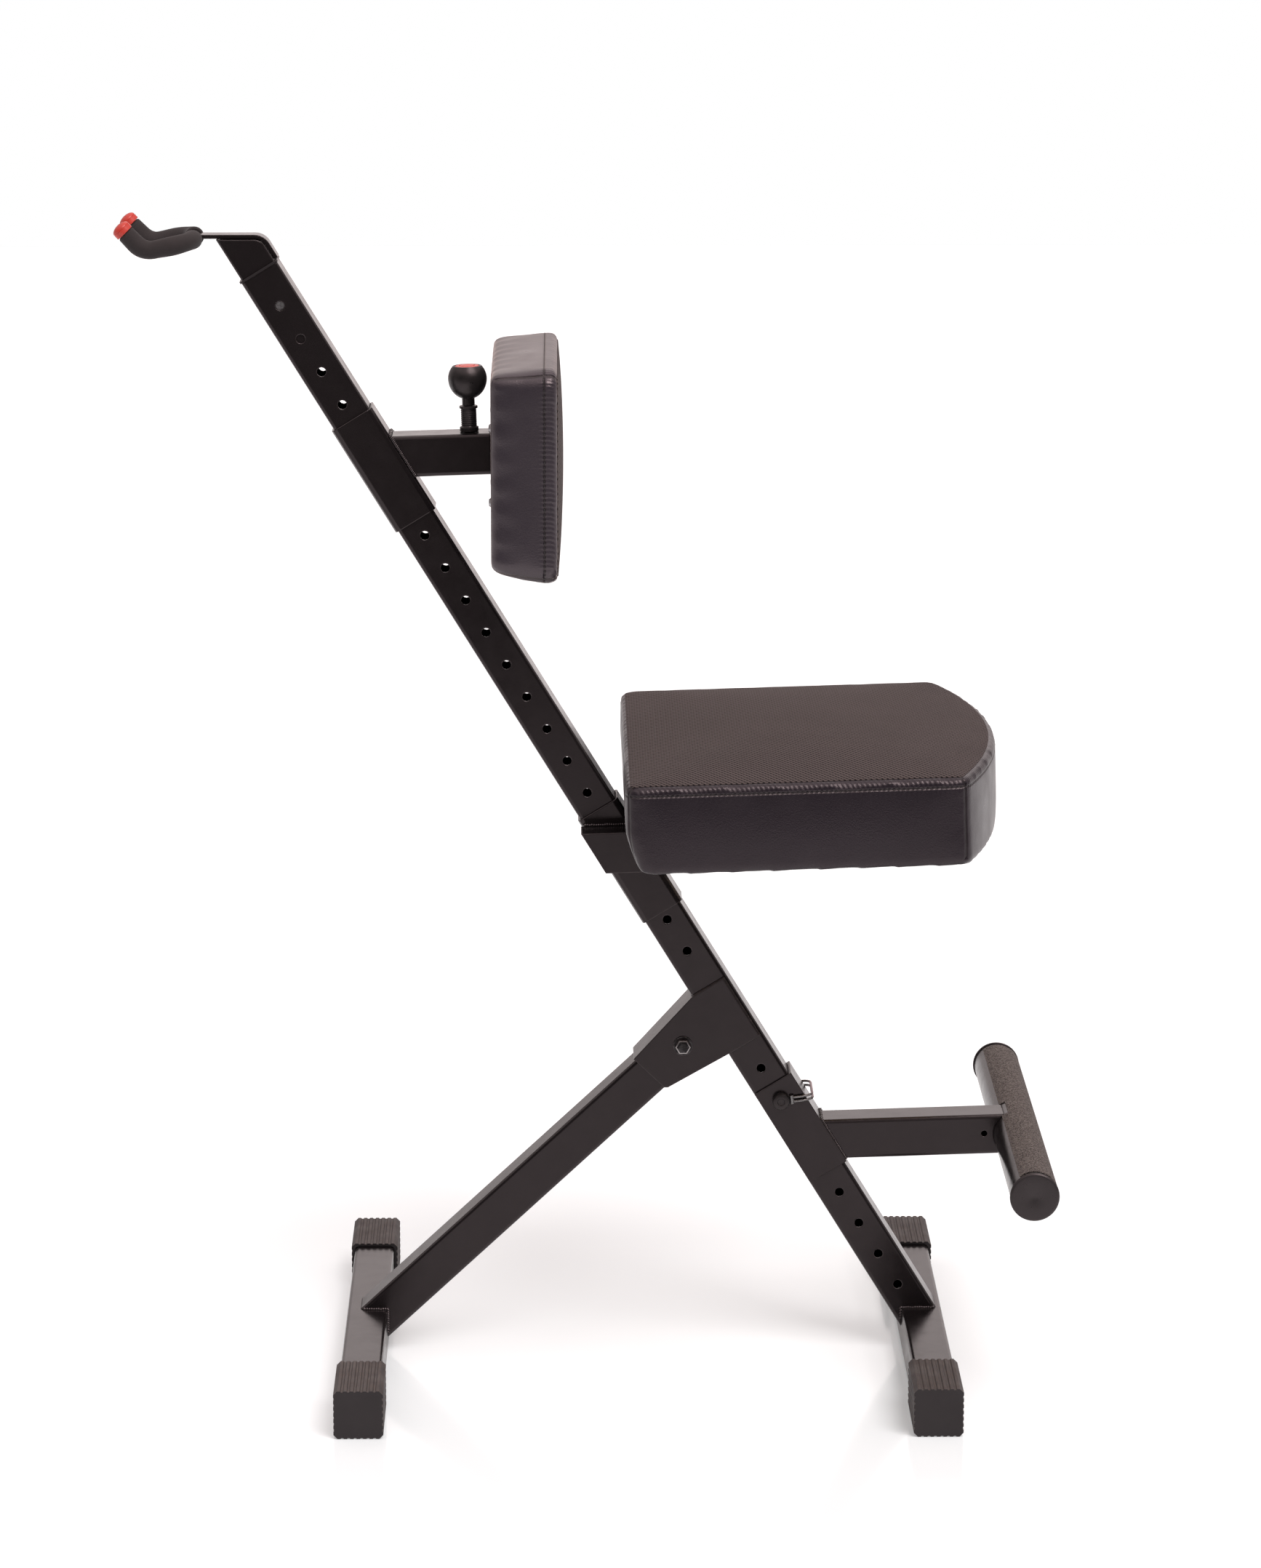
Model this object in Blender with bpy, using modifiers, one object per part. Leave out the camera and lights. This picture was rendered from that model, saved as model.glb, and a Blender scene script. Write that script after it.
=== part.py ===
# Folding guitar stool: a leaning square-tube post on two cross bars, with a hinged rear leg.
# A padded seat, a padded backrest and a tee-bar footrest slide on the post, and a forked
# hanger for a guitar neck stands in its top. Metres, +Z up, +X to the player's front.
import bpy
import bmesh
import math
from mathutils import Matrix, Vector

# Square tube used for the post, arms, legs and foot bars.
tube_size = 0.0380
tube_wall = 0.0015
post_wall = 0.0012
tube_corner = 0.0030
corner_steps = 2
weld_gap = 0.0003
slide_gap = 0.0003
cut_overrun = 0.0060
weld_distance = 0.000001
round_sides = 20
hex_sides = 6

# Post: it leans back and stands on the front foot bar.
post_lean_deg = 31.57
post_foot_x = 0.3335
hole_radius = 0.00425
hole_sides = 12
hole_pitch = 0.0355
first_hole_drop = 0.0350
upper_hole_count = 21
lower_group_gap = 0.0285
lower_hole_count = 8
last_hole_rise = 0.0762
bushing_lip = 0.0011
bushing_height = 0.0020

# Foot bars and their ribbed rubber caps.
front_bar_x = 0.3165
rear_bar_ahead = 0.0234755
foot_bar_length = 0.5370
cap_length = 0.0880
cap_wall = 0.0035
cap_end_wall = 0.0035
cap_rib_count = 7
cap_rib_depth = 0.0009
cap_crest_share = 0.44
cap_flank_share = 0.14
cap_corner = 0.0020

# Leg bracket, hinge bolt and rear leg.
pivot_below_bracket_top = 0.0354
pivot_behind = 0.0506
leg_lean_deg = 47.0
bracket_sheet = 0.0025
bracket_hole_gap = 0.0397
bracket_length = 0.0648
bracket_reach = 0.0150
web_low_behind = 0.0462
web_low_drop = 0.0131
nose_behind = 0.0176
nose_drop = 0.0405
nose_step = 0.0036
bolt_radius = 0.0040
bolt_play = 0.0002
bolt_head_radius = 0.0075
bolt_head_height = 0.0053
nut_height = 0.0065
nut_overrun = 0.0030
washer_radius = 0.0090
washer_height = 0.0014
leg_end_steps = 10

# Sleeves that slide on the post.
sleeve_play = 0.0004
sleeve_wall = 0.0020
backrest_sleeve_length = 0.1100
backrest_hole_index = 5
seat_sleeve_length = 0.1150
seat_hole_index = 17
seat_lock_index = 18
seat_sleeve_drop = 0.0050

# Arms rise slightly as they leave the post.
arm_rise_deg = 1.7

# Backrest arm and pad.
backrest_arm_out = 0.0619
backrest_arm_lift = 0.0136
backrest_pad_out = 0.0370
arm_end_gap = 0.0012
insert_bar_length = 0.0650
insert_plate_sheet = 0.0030
insert_plate_width = 0.1400
insert_plate_height = 0.0900
backrest_centre_drop = 0.0031
backrest_width = 0.2750
backrest_height = 0.1910
backrest_band = 0.0550
backrest_corner = 0.0270
backrest_edge = 0.0060
backrest_crown = 0.0070
backrest_draw_in = 0.0060
backrest_draw_depth = 0.0140
board_inset = 0.0160
board_sheet = 0.0100
panel_sheet = 0.0012
panel_lift = 0.0012
cushion_spacing = 0.0420
low_draw_share = 0.35
edge_round_share = 0.30
crown_shares = (0.0, 0.07, 0.20, 0.42, 0.70, 0.92)
crown_power = 2.6

# Pull knob: barrel, pin, ball and coloured insert.
arm_knob_out = 0.0171
barrel_radius = 0.0071
barrel_height = 0.0236
barrel_lip_radius = 0.0084
barrel_lip_height = 0.0022
barrel_base_radius = 0.0086
barrel_base_height = 0.0030
pin_radius = 0.0038
pin_play = 0.0002
pin_neck_radius = 0.0058
pin_neck_height = 0.0066
pin_neck_gap = 0.0004
knob_radius = 0.0178
knob_height = 0.0295
knob_top_radius = 0.0138
knob_foot_radius = 0.0070
knob_wide_share = 0.60
knob_steps = 5
insert_radius = 0.0110
insert_height = 0.0012

# Seat bracket and pad.
seat_web_behind = 0.0201
seat_web_lift = 0.0298
seat_bracket_half_width = 0.0540
seat_bracket_sheet = 0.0025
seat_bracket_rear_reach = 0.0215
seat_bracket_depth = 0.0380
seat_bracket_full_length = 0.0640
seat_bracket_length = 0.2780
seat_bracket_nose_depth = 0.0140
seat_pad_ahead = 0.0160
seat_side_length = 0.3020
seat_front_bulge = 0.0440
seat_width = 0.4500
seat_corner = 0.0130
seat_edge_height = 0.0700
seat_edge = 0.0040
seat_crown = 0.0095
seat_draw_in = 0.0020
seat_draw_depth = 0.0060
seat_rear_draw = 0.0115
seat_rear_depth = 0.0340
front_shares = (-1.0, -0.83, -0.66, -0.44, -0.22, 0.0, 0.22, 0.44, 0.66, 0.83, 1.0)
board_corner = 0.0060

# Footrest.
saddle_hole_index = 1
saddle_above_hole = 0.0175
saddle_length = 0.1010
saddle_rear_reach = 0.0182
saddle_sheet = 0.0025
footrest_arm_out = 0.0864
footrest_arm_drop = 0.0384
footrest_bar_out = 0.1352
footrest_bar_lift = 0.0044
footrest_bar_radius = 0.0212
footrest_bar_wall = 0.0016
footrest_bar_length = 0.4570
grip_sheet = 0.0008
grip_margin = 0.0060
grip_low_deg = -52.0
grip_high_deg = 128.0
grip_steps = 15
grip_notch_reach = 0.0080
end_cap_radius = 0.0226
end_cap_height = 0.0030
end_cap_bevel = 0.0006
end_cap_plug = 0.0120
bar_sides = 32
vent_radius = 0.0030
vent_before_bar = 0.0300
hitch_head_radius = 0.0078
hitch_head_height = 0.0080
wire_radius = 0.0012
wire_rise_deg = 7.0
wire_spread = 0.0040
wire_gap = 0.0070
wire_ahead = 0.0045
wire_bend = 0.0085
wire_tail_overrun = 0.0020
wire_steps = 4
ferrule_radius = 0.0022
ferrule_height = 0.0080

# Hanger: square tube in the post's top, flat strap and forked yoke.
hanger_insert = 0.0880
hanger_rise = 0.0300
strap_width = 0.0200
strap_sheet = 0.0036
strap_reach = 0.0558
strap_bend = 0.0140
strap_end_gap = 0.0010
yoke_half_gap = 0.0370
yoke_rod_radius = 0.0040
yoke_bend = 0.0255
yoke_base_drop = 0.0020
yoke_dip_bend = 0.0180
yoke_dip = 0.0083
yoke_dip_reach = 0.0432
yoke_tip_reach = 0.0160
yoke_tip_rise = 0.0167
yoke_steps = 6
foam_radius = 0.0085
foam_start = 0.0110
tip_radius = 0.0086
tip_length = 0.0100
button_radius = 0.0040
button_length = 0.0060

powder_black = (0.028, 0.026, 0.028)
rubber_black = (0.045, 0.040, 0.042)
plastic_black = (0.030, 0.030, 0.032)
vinyl_black = (0.050, 0.045, 0.052)
mesh_black = (0.085, 0.074, 0.072)
foam_black = (0.040, 0.038, 0.038)
signal_red = (0.720, 0.090, 0.060)
zinc_grey = (0.420, 0.420, 0.430)
board_brown = (0.450, 0.330, 0.210)
grip_grey = (0.090, 0.080, 0.078)

for thing in list(bpy.data.objects):
    bpy.data.objects.remove(thing, do_unlink=True)

stool = bpy.data.collections.new("guitar_stool")
cutters = bpy.data.collections.new("cutters")
bpy.context.scene.collection.children.link(stool)
bpy.context.scene.collection.children.link(cutters)

# Drops are measured down the post from its top. The bracket sits between the two rows of holes.
bracket_top_drop = first_hole_drop + (upper_hole_count - 1) * hole_pitch + bracket_hole_gap
bracket_bottom_drop = bracket_top_drop + bracket_length
lower_group_drop = bracket_bottom_drop + lower_group_gap
post_length = lower_group_drop + (lower_hole_count - 1) * hole_pitch + last_hole_rise

half = tube_size / 2
quarter_turn = math.radians(90)
lean = math.radians(post_lean_deg)
rise = math.radians(arm_rise_deg)
leg_lean = math.radians(leg_lean_deg)
reach = post_length + tube_size

looks = {
    "powder": (powder_black, 0.42, 0.0),
    "rubber": (rubber_black, 0.80, 0.0),
    "plastic": (plastic_black, 0.45, 0.0),
    "vinyl": (vinyl_black, 0.55, 0.0),
    "mesh": (mesh_black, 0.85, 0.0),
    "foam": (foam_black, 0.90, 0.0),
    "red": (signal_red, 0.40, 0.0),
    "zinc": (zinc_grey, 0.30, 1.0),
    "board": (board_brown, 0.80, 0.0),
    "grip": (grip_grey, 0.90, 0.0),
}


def paint(name, look):
    colour, roughness, metallic = looks[look]
    material = bpy.data.materials.new(name)
    material.use_nodes = True
    shader = material.node_tree.nodes["Principled BSDF"]
    shader.inputs["Base Color"].default_value = (*colour, 1.0)
    shader.inputs["Roughness"].default_value = roughness
    shader.inputs["Metallic"].default_value = metallic
    return material


def tilted(origin, angle):
    return Matrix.Translation(Vector(origin)) @ Matrix.Rotation(angle, 4, "Y")


def moved(x=0.0, y=0.0, z=0.0):
    return Matrix.Translation(Vector((x, y, z)))


# Local Z turned to world +Y or -Y; an upright outline's X and Y become world X and Z.
toward_far = Matrix.Rotation(-quarter_turn, 4, "X")
toward_near = Matrix.Rotation(quarter_turn, 4, "X")
upright = toward_near

post_frame = tilted((post_foot_x, 0, 0), -lean)


def on_post(drop, out=0.0):
    return post_frame @ Vector((out, 0, post_length - drop))


def flat(point):
    return (point.x, point.z)


def rounded_box(half_x, half_y, radius, steps):
    points = []
    for corner, (sx, sy) in enumerate(((1, 1), (-1, 1), (-1, -1), (1, -1))):
        for step in range(steps + 1):
            angle = quarter_turn * (corner + step / steps)
            points.append((sx * (half_x - radius) + radius * math.cos(angle),
                           sy * (half_y - radius) + radius * math.sin(angle)))
    return points


def circle(radius, sides):
    return [(radius * math.cos(2 * math.pi * i / sides), radius * math.sin(2 * math.pi * i / sides))
            for i in range(sides)]


def tidy(mesh):
    bmesh.ops.remove_doubles(mesh, verts=mesh.verts, dist=weld_distance)
    bmesh.ops.recalc_face_normals(mesh, faces=mesh.faces)
    return mesh


def from_curve(curve):
    # the curve's shape as an editable mesh with welded caps
    holder = bpy.data.objects.new("curve", curve)
    bpy.context.scene.collection.objects.link(holder)
    graph = bpy.context.evaluated_depsgraph_get()
    data = bpy.data.meshes.new_from_object(holder.evaluated_get(graph))
    mesh = bmesh.new()
    mesh.from_mesh(data)
    bpy.data.objects.remove(holder, do_unlink=True)
    bpy.data.curves.remove(curve)
    bpy.data.meshes.remove(data)
    return tidy(mesh)


def extruded(outlines, low, high):
    # filled outlines in X and Y, drawn out along Z; an inner outline makes a hole
    curve = bpy.data.curves.new("outline", "CURVE")
    curve.dimensions = "2D"
    curve.fill_mode = "BOTH"
    curve.extrude = (high - low) / 2
    for outline in outlines:
        spline = curve.splines.new("POLY")
        spline.points.add(len(outline) - 1)
        for point, (x, y) in zip(spline.points, outline):
            point.co = (x, y, 0, 1)
        spline.use_cyclic_u = True
    mesh = from_curve(curve)
    mesh.transform(moved(z=(high + low) / 2))
    return mesh


def square_tube(size, wall, low, high, corner=tube_corner):
    outer = rounded_box(size / 2, size / 2, corner, corner_steps)
    bore = size / 2 - wall
    inner = rounded_box(bore, bore, corner - wall, corner_steps)
    return extruded([outer, inner], low, high)


def rod(path, radius):
    # round wire along a path, with flat ends
    curve = bpy.data.curves.new("rod", "CURVE")
    curve.dimensions = "3D"
    curve.bevel_depth = radius
    curve.bevel_resolution = 2
    curve.use_fill_caps = True
    spline = curve.splines.new("POLY")
    spline.points.add(len(path) - 1)
    for point, place in zip(spline.points, path):
        point.co = (*place, 1)
    return from_curve(curve)


def box(low, high):
    mesh = bmesh.new()
    bmesh.ops.create_cube(mesh, size=1.0)
    size = Vector(high) - Vector(low)
    centre = (Vector(high) + Vector(low)) / 2
    mesh.transform(Matrix.Translation(centre) @ Matrix.Diagonal((*size, 1)))
    return mesh


def cylinder(radius, sides, low, high):
    mesh = bmesh.new()
    bmesh.ops.create_cone(mesh, cap_ends=True, segments=sides, radius1=radius, radius2=radius,
                          depth=high - low)
    mesh.transform(moved(z=(high + low) / 2))
    return mesh


def combined(meshes):
    whole = bmesh.new()
    for mesh in meshes:
        part = bpy.data.meshes.new("part")
        mesh.to_mesh(part)
        mesh.free()
        whole.from_mesh(part)
        bpy.data.meshes.remove(part)
    return whole


def mesh_object(name, mesh, place):
    data = bpy.data.meshes.new(name)
    mesh.to_mesh(data)
    mesh.free()
    thing = bpy.data.objects.new(name, data)
    thing.matrix_world = place
    return thing


def carried(thing, body):
    if body is not None:
        thing.parent = body
        thing.matrix_parent_inverse = Matrix.Translation(-body.location)


def solid(name, mesh, place, look, body=None, smooth=False):
    thing = mesh_object(name, mesh, place)
    stool.objects.link(thing)
    carried(thing, body)
    if smooth:
        thing.data.shade_smooth()
        thing.data.set_sharp_from_angle(angle=math.radians(35))
    thing.data.materials.append(paint(name, look))
    return thing


def turned(name, profile, place, look, body=None, sides=round_sides):
    # profile of radius and height, run down the outer side; a closed profile makes a ring
    data = bpy.data.meshes.new(name)
    edges = [(i, i + 1) for i in range(len(profile) - 1)]
    if profile[0][0] > 0:
        edges.append((len(profile) - 1, 0))
    data.from_pydata([(radius, 0, height) for radius, height in profile], edges, [])
    thing = bpy.data.objects.new(name, data)
    thing.matrix_world = place
    stool.objects.link(thing)
    carried(thing, body)
    screw = thing.modifiers.new("turn", "SCREW")
    screw.axis = "Z"
    screw.steps = sides
    screw.render_steps = sides
    screw.use_merge_vertices = True
    screw.merge_threshold = weld_distance
    screw.use_smooth_shade = False
    data.materials.append(paint(name, look))
    return thing


def boolean(thing, mesh, place, operation, solver):
    cutter = mesh_object(thing.name + "_tool", mesh, place)
    cutter.hide_render = True
    cutter.display_type = "WIRE"
    cutters.objects.link(cutter)
    step = thing.modifiers.new(operation.lower(), "BOOLEAN")
    step.operation = operation
    step.solver = solver
    step.object = cutter


def cut(thing, mesh, place=Matrix.Identity(4), solver="EXACT"):
    boolean(thing, mesh, place, "DIFFERENCE", solver)


def add(thing, mesh, place=Matrix.Identity(4)):
    boolean(thing, mesh, place, "UNION", "EXACT")


def joint_empty(name, place):
    empty = bpy.data.objects.new(name, None)
    empty.location = place
    stool.objects.link(empty)
    return empty


# Post, with two rows of through holes and a foot notched over the front bar.
bar_height = half + cap_wall
bar_top = bar_height + half + weld_gap
bar_rear = front_bar_x - half - weld_gap
pivot = on_post(bracket_top_drop + pivot_below_bracket_top, -pivot_behind)
rear_bar_x = pivot.x - pivot.z * math.tan(leg_lean) + rear_bar_ahead
bar_front = rear_bar_x + half + weld_gap
post = solid("post", square_tube(tube_size, post_wall, -half, post_length), post_frame, "powder")
drops = [first_hole_drop + index * hole_pitch for index in range(upper_hole_count)]
drops += [lower_group_drop + index * hole_pitch for index in range(lower_hole_count)]
drills = []
for drop in drops:
    drill = cylinder(hole_radius, hole_sides, -half - cut_overrun, half + cut_overrun)
    drill.transform(moved(z=post_length - drop) @ toward_far)
    drills.append(drill)
cut(post, combined(drills), post_frame)
cut(post, box((bar_rear, -reach, -reach), (reach, reach, bar_top)))

hanger_half = half - post_wall - slide_gap
lip = half + bushing_lip
bushing = extruded([rounded_box(lip, lip, tube_corner, corner_steps),
                    rounded_box(hanger_half + slide_gap, hanger_half + slide_gap,
                                tube_corner - post_wall, corner_steps)],
                   weld_gap, weld_gap + bushing_height)
solid("post_bushing", bushing, post_frame @ moved(z=post_length), "plastic")


# Foot bars lie across the floor and end in ribbed rubber caps.
def ribbed_square(half_size):
    side = 2 * (half_size - cap_corner)
    pitch = side / cap_rib_count
    row = []
    for rib in range(cap_rib_count):
        centre = pitch * (rib + 0.5) - side / 2
        crest = pitch * cap_crest_share / 2
        flank = crest + pitch * cap_flank_share
        row += [(centre - flank, cap_rib_depth), (centre - crest, 0), (centre + crest, 0),
                (centre + flank, cap_rib_depth)]
    points = []
    for quarter in range(4):
        turn = Matrix.Rotation(quarter_turn * quarter, 2)
        for along, inward in row:
            points.append(turn @ Vector((along, inward - half_size)))
    return points


def foot_bar(name, x, body=None):
    mesh = square_tube(tube_size, tube_wall, -foot_bar_length / 2, foot_bar_length / 2)
    return solid(name, mesh, moved(x, 0, bar_height) @ toward_far, "powder", body)


def foot_cap(name, x, end, body=None):
    face = foot_bar_length / 2 + weld_gap
    turn = toward_near if end > 0 else toward_far
    place = moved(x, end * face, bar_height) @ turn
    cap = solid(name, extruded([ribbed_square(bar_height)], -cap_end_wall, cap_length - cap_end_wall),
                place, "rubber", body)
    pocket = half + weld_gap
    hollow = rounded_box(pocket, pocket, tube_corner, corner_steps)
    cut(cap, extruded([hollow], 0, cap_length + cut_overrun), place, "MANIFOLD")
    return cap


foot_bar("front_foot_bar", front_bar_x)
foot_cap("front_cap_near", front_bar_x, -1)
foot_cap("front_cap_far", front_bar_x, 1)

# Folded bracket welded to the post; the hinge bolt runs through its two cheeks.
cheek_inner = half + weld_gap
cheek_outer = cheek_inner + bracket_sheet
web_high = on_post(bracket_top_drop, -half - weld_gap)
web_low = pivot - Vector((web_low_behind, 0, web_low_drop))
nose = pivot - Vector((nose_behind, 0, nose_drop))
cheek = [web_low, nose, nose + Vector((nose_step, 0, 0)), on_post(bracket_bottom_drop, -half),
         on_post(bracket_bottom_drop, bracket_reach), on_post(bracket_top_drop, bracket_reach),
         web_high]
bracket = solid("leg_bracket", extruded([[flat(p) for p in cheek]], -cheek_outer, cheek_outer),
                upright, "powder")
web_line = (web_high - web_low).normalized()
web_inner = web_low + Vector((web_line.z, 0, -web_line.x)) * bracket_sheet
inside = [web_inner - web_line * reach, web_inner + web_line * reach,
          web_inner + web_line * reach + Vector((2 * reach, 0, -reach)),
          web_inner - web_line * reach + Vector((2 * reach, 0, -reach))]
cut(bracket, extruded([[flat(p) for p in inside]], -cheek_inner, cheek_inner), upright)
cut(bracket, box((-cheek_inner, -cheek_inner, -reach), (cheek_inner, cheek_inner, reach)), post_frame)
pivot_place = Matrix.Translation(pivot)
bolt_hole = bolt_radius + bolt_play
cut(bracket, cylinder(bolt_hole, round_sides, -cheek_outer - cut_overrun, cheek_outer + cut_overrun),
    pivot_place @ toward_far)

# The bolt's head is on the near side, its nut on the far side, both over washers.
washer_from = cheek_outer + weld_gap
seat_from = washer_from + washer_height + weld_gap
washer = [circle(washer_radius, round_sides), circle(bolt_hole, round_sides)]
solid("pivot_washer_near", extruded(washer, washer_from, washer_from + washer_height),
      pivot_place @ toward_near, "zinc")
solid("pivot_washer_far", extruded(washer, washer_from, washer_from + washer_height),
      pivot_place @ toward_far, "zinc")
bolt = solid("pivot_bolt", cylinder(bolt_head_radius, hex_sides, seat_from, seat_from + bolt_head_height),
             pivot_place @ toward_near, "zinc")
bolt_end = seat_from + nut_height + nut_overrun
add(bolt, cylinder(bolt_radius, round_sides, -bolt_end, seat_from + bolt_head_height / 2),
    pivot_place @ toward_near)
nut = [circle(bolt_head_radius, hex_sides), circle(bolt_radius + weld_gap, round_sides)]
solid("pivot_nut", extruded(nut, seat_from, seat_from + nut_height), pivot_place @ toward_far, "zinc")

# Rear leg: round-ended at the hinge, notched over the rear bar.
leg_fold = joint_empty("leg_fold_axis", pivot)
leg_frame = tilted(pivot, leg_lean)
leg_length = pivot.z / math.cos(leg_lean)
leg = solid("rear_leg", square_tube(tube_size, tube_wall, -leg_length, half), leg_frame, "powder", leg_fold)
scrap = [(-half - cut_overrun, 0), (-half, 0)]
for step in range(leg_end_steps + 1):
    angle = math.pi * (1 - step / leg_end_steps)
    scrap.append((half * math.cos(angle), half * math.sin(angle)))
scrap += [(half + cut_overrun, 0), (half + cut_overrun, tube_size), (-half - cut_overrun, tube_size)]
cut(leg, extruded([scrap], -tube_size, tube_size), leg_frame @ upright)
cut(leg, cylinder(bolt_hole, round_sides, -tube_size, tube_size), pivot_place @ toward_far)
cut(leg, box((-reach, -reach, -reach), (bar_front, reach, bar_top)))
foot_bar("rear_foot_bar", rear_bar_x, leg_fold)
foot_cap("rear_cap_near", rear_bar_x, -1, leg_fold)
foot_cap("rear_cap_far", rear_bar_x, 1, leg_fold)


def filleted(corners, radii, steps, closed=False):
    # replaces each corner with an arc of its radius
    points = []
    for i, corner in enumerate(corners):
        if radii[i] == 0 or (not closed and i in (0, len(corners) - 1)):
            points.append(corner)
            continue
        before = (corners[i - 1] - corner).normalized()
        after = (corners[(i + 1) % len(corners)] - corner).normalized()
        bend = before.angle(after)
        centre = corner + (before + after).normalized() * (radii[i] / math.sin(bend / 2))
        first = corner + before * (radii[i] / math.tan(bend / 2)) - centre
        axis = before.cross(after)
        for step in range(steps + 1):
            turn = Matrix.Rotation(-(math.pi - bend) * step / steps, 3, axis)
            points.append(centre + turn @ first)
    return points


def ribbon(path, sheet):
    # outline of a bent sheet, seen from its edge
    left, right = [], []
    for i, point in enumerate(path):
        before = (point - path[max(i - 1, 0)]).normalized()
        after = (path[min(i + 1, len(path) - 1)] - point).normalized()
        along = (before + after).normalized()
        across = Vector((-along.z, 0, along.x)) * (sheet / 2)
        left.append(flat(point + across))
        right.append(flat(point - across))
    return left + right[::-1]


# Guitar hanger: a square tube in the post's top, with a flat strap bent down its front.
hanger = joint_empty("hanger_slide_axis", on_post(first_hole_drop))
hanger_size = 2 * hanger_half
hanger_corner = tube_corner - post_wall
hanger_tube = solid("hanger_tube", square_tube(hanger_size, tube_wall, post_length - hanger_insert,
                                               post_length + hanger_insert, hanger_corner),
                    post_frame, "powder", hanger)
post_top = on_post(0)
hanger_top = post_top.z + hanger_rise
cut(hanger_tube, box((-reach, -reach, hanger_top), (reach, reach, reach + hanger_top)))
strap_rear_x = post_top.x - strap_reach
strap_height = hanger_top + weld_gap + strap_sheet / 2
strap_out = hanger_half + weld_gap + strap_sheet / 2
strap_end = post_frame @ Vector((strap_out, 0, post_length + weld_gap + bushing_height + strap_end_gap))
strap_corner = Vector((strap_end.x - (strap_height - strap_end.z) * math.tan(lean), 0, strap_height))
strap_path = filleted([Vector((strap_rear_x, 0, strap_height)), strap_corner, strap_end],
                      [0, strap_bend, 0], corner_steps * 3)
solid("hanger_strap", extruded([ribbon(strap_path, strap_sheet)], -strap_width / 2, strap_width / 2),
      upright, "powder", hanger)
strap_room = ribbon(strap_path, strap_sheet + 2 * weld_gap)
cut(hanger_tube, extruded([strap_room], -tube_size, tube_size), upright)

# Yoke: one bent rod across the strap's end, in two foam sleeves with coloured tips.
yoke_base = Vector((strap_rear_x - yoke_rod_radius - weld_gap, 0, strap_height - yoke_base_drop))
yoke_low = yoke_base - Vector((yoke_dip_reach, 0, yoke_dip))
yoke_end = yoke_low + Vector((-yoke_tip_reach, 0, yoke_tip_rise))


def yoke_arm(side, start):
    out = Vector((0, side * yoke_half_gap, 0))
    corners = [yoke_base + Vector((0, side * start, 0)), yoke_base + out, yoke_low + out, yoke_end + out]
    return filleted(corners, [0, yoke_bend, yoke_dip_bend, 0], yoke_steps)


near_arm = yoke_arm(-1, 0)
far_arm = yoke_arm(1, 0)
solid("yoke_rod", rod(near_arm[::-1] + far_arm[1:], yoke_rod_radius), Matrix.Identity(4), "powder",
      hanger, smooth=True)
tip_line = (near_arm[-1] - near_arm[-2]).normalized()
tip_tilt = math.atan2(tip_line.x, tip_line.z)
tip_profile = [(0, tip_length)]
for step in range(1, corner_steps * 2 + 1):
    angle = quarter_turn * (1 - step / (corner_steps * 2))
    tip_profile.append((tip_radius * math.cos(angle), tip_length / 2 * (1 + math.sin(angle))))
tip_profile += [(tip_radius, weld_gap), (0, weld_gap)]
for name, side in (("near", -1), ("far", 1)):
    foam = solid("yoke_foam_" + name, rod(yoke_arm(side, foam_start), foam_radius), Matrix.Identity(4),
                 "foam", hanger, smooth=True)
    core = yoke_arm(side, 0)
    core.append(core[-1] + tip_line * cut_overrun)
    cut(foam, rod(core, yoke_rod_radius + weld_gap))
    turned("yoke_tip_" + name, tip_profile, tilted(yoke_arm(side, 0)[-1], tip_tilt), "red", hanger)

# Spring button in the hanger tube, under the post's first hole.
button = joint_empty("snap_press_axis", on_post(first_hole_drop))
button_place = post_frame @ moved(z=post_length - first_hole_drop) @ toward_near
solid("snap_button", cylinder(button_radius, round_sides, hanger_half - button_length, hanger_half),
      button_place, "zinc", button)
cut(hanger_tube, cylinder(button_radius + bolt_play, round_sides, 0, half), button_place)


# A sleeve slides on the post; a pull knob on its far side locks it at a hole.
sleeve_half = half + sleeve_play + sleeve_wall
sleeve_corner = tube_corner + sleeve_play + sleeve_wall


def sleeve(name, hole, shift, length, body):
    middle = post_length - first_hole_drop - hole * hole_pitch - shift
    mesh = square_tube(2 * sleeve_half, sleeve_wall, middle - length / 2, middle + length / 2, sleeve_corner)
    return solid(name, mesh, post_frame, "powder", body)


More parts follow.
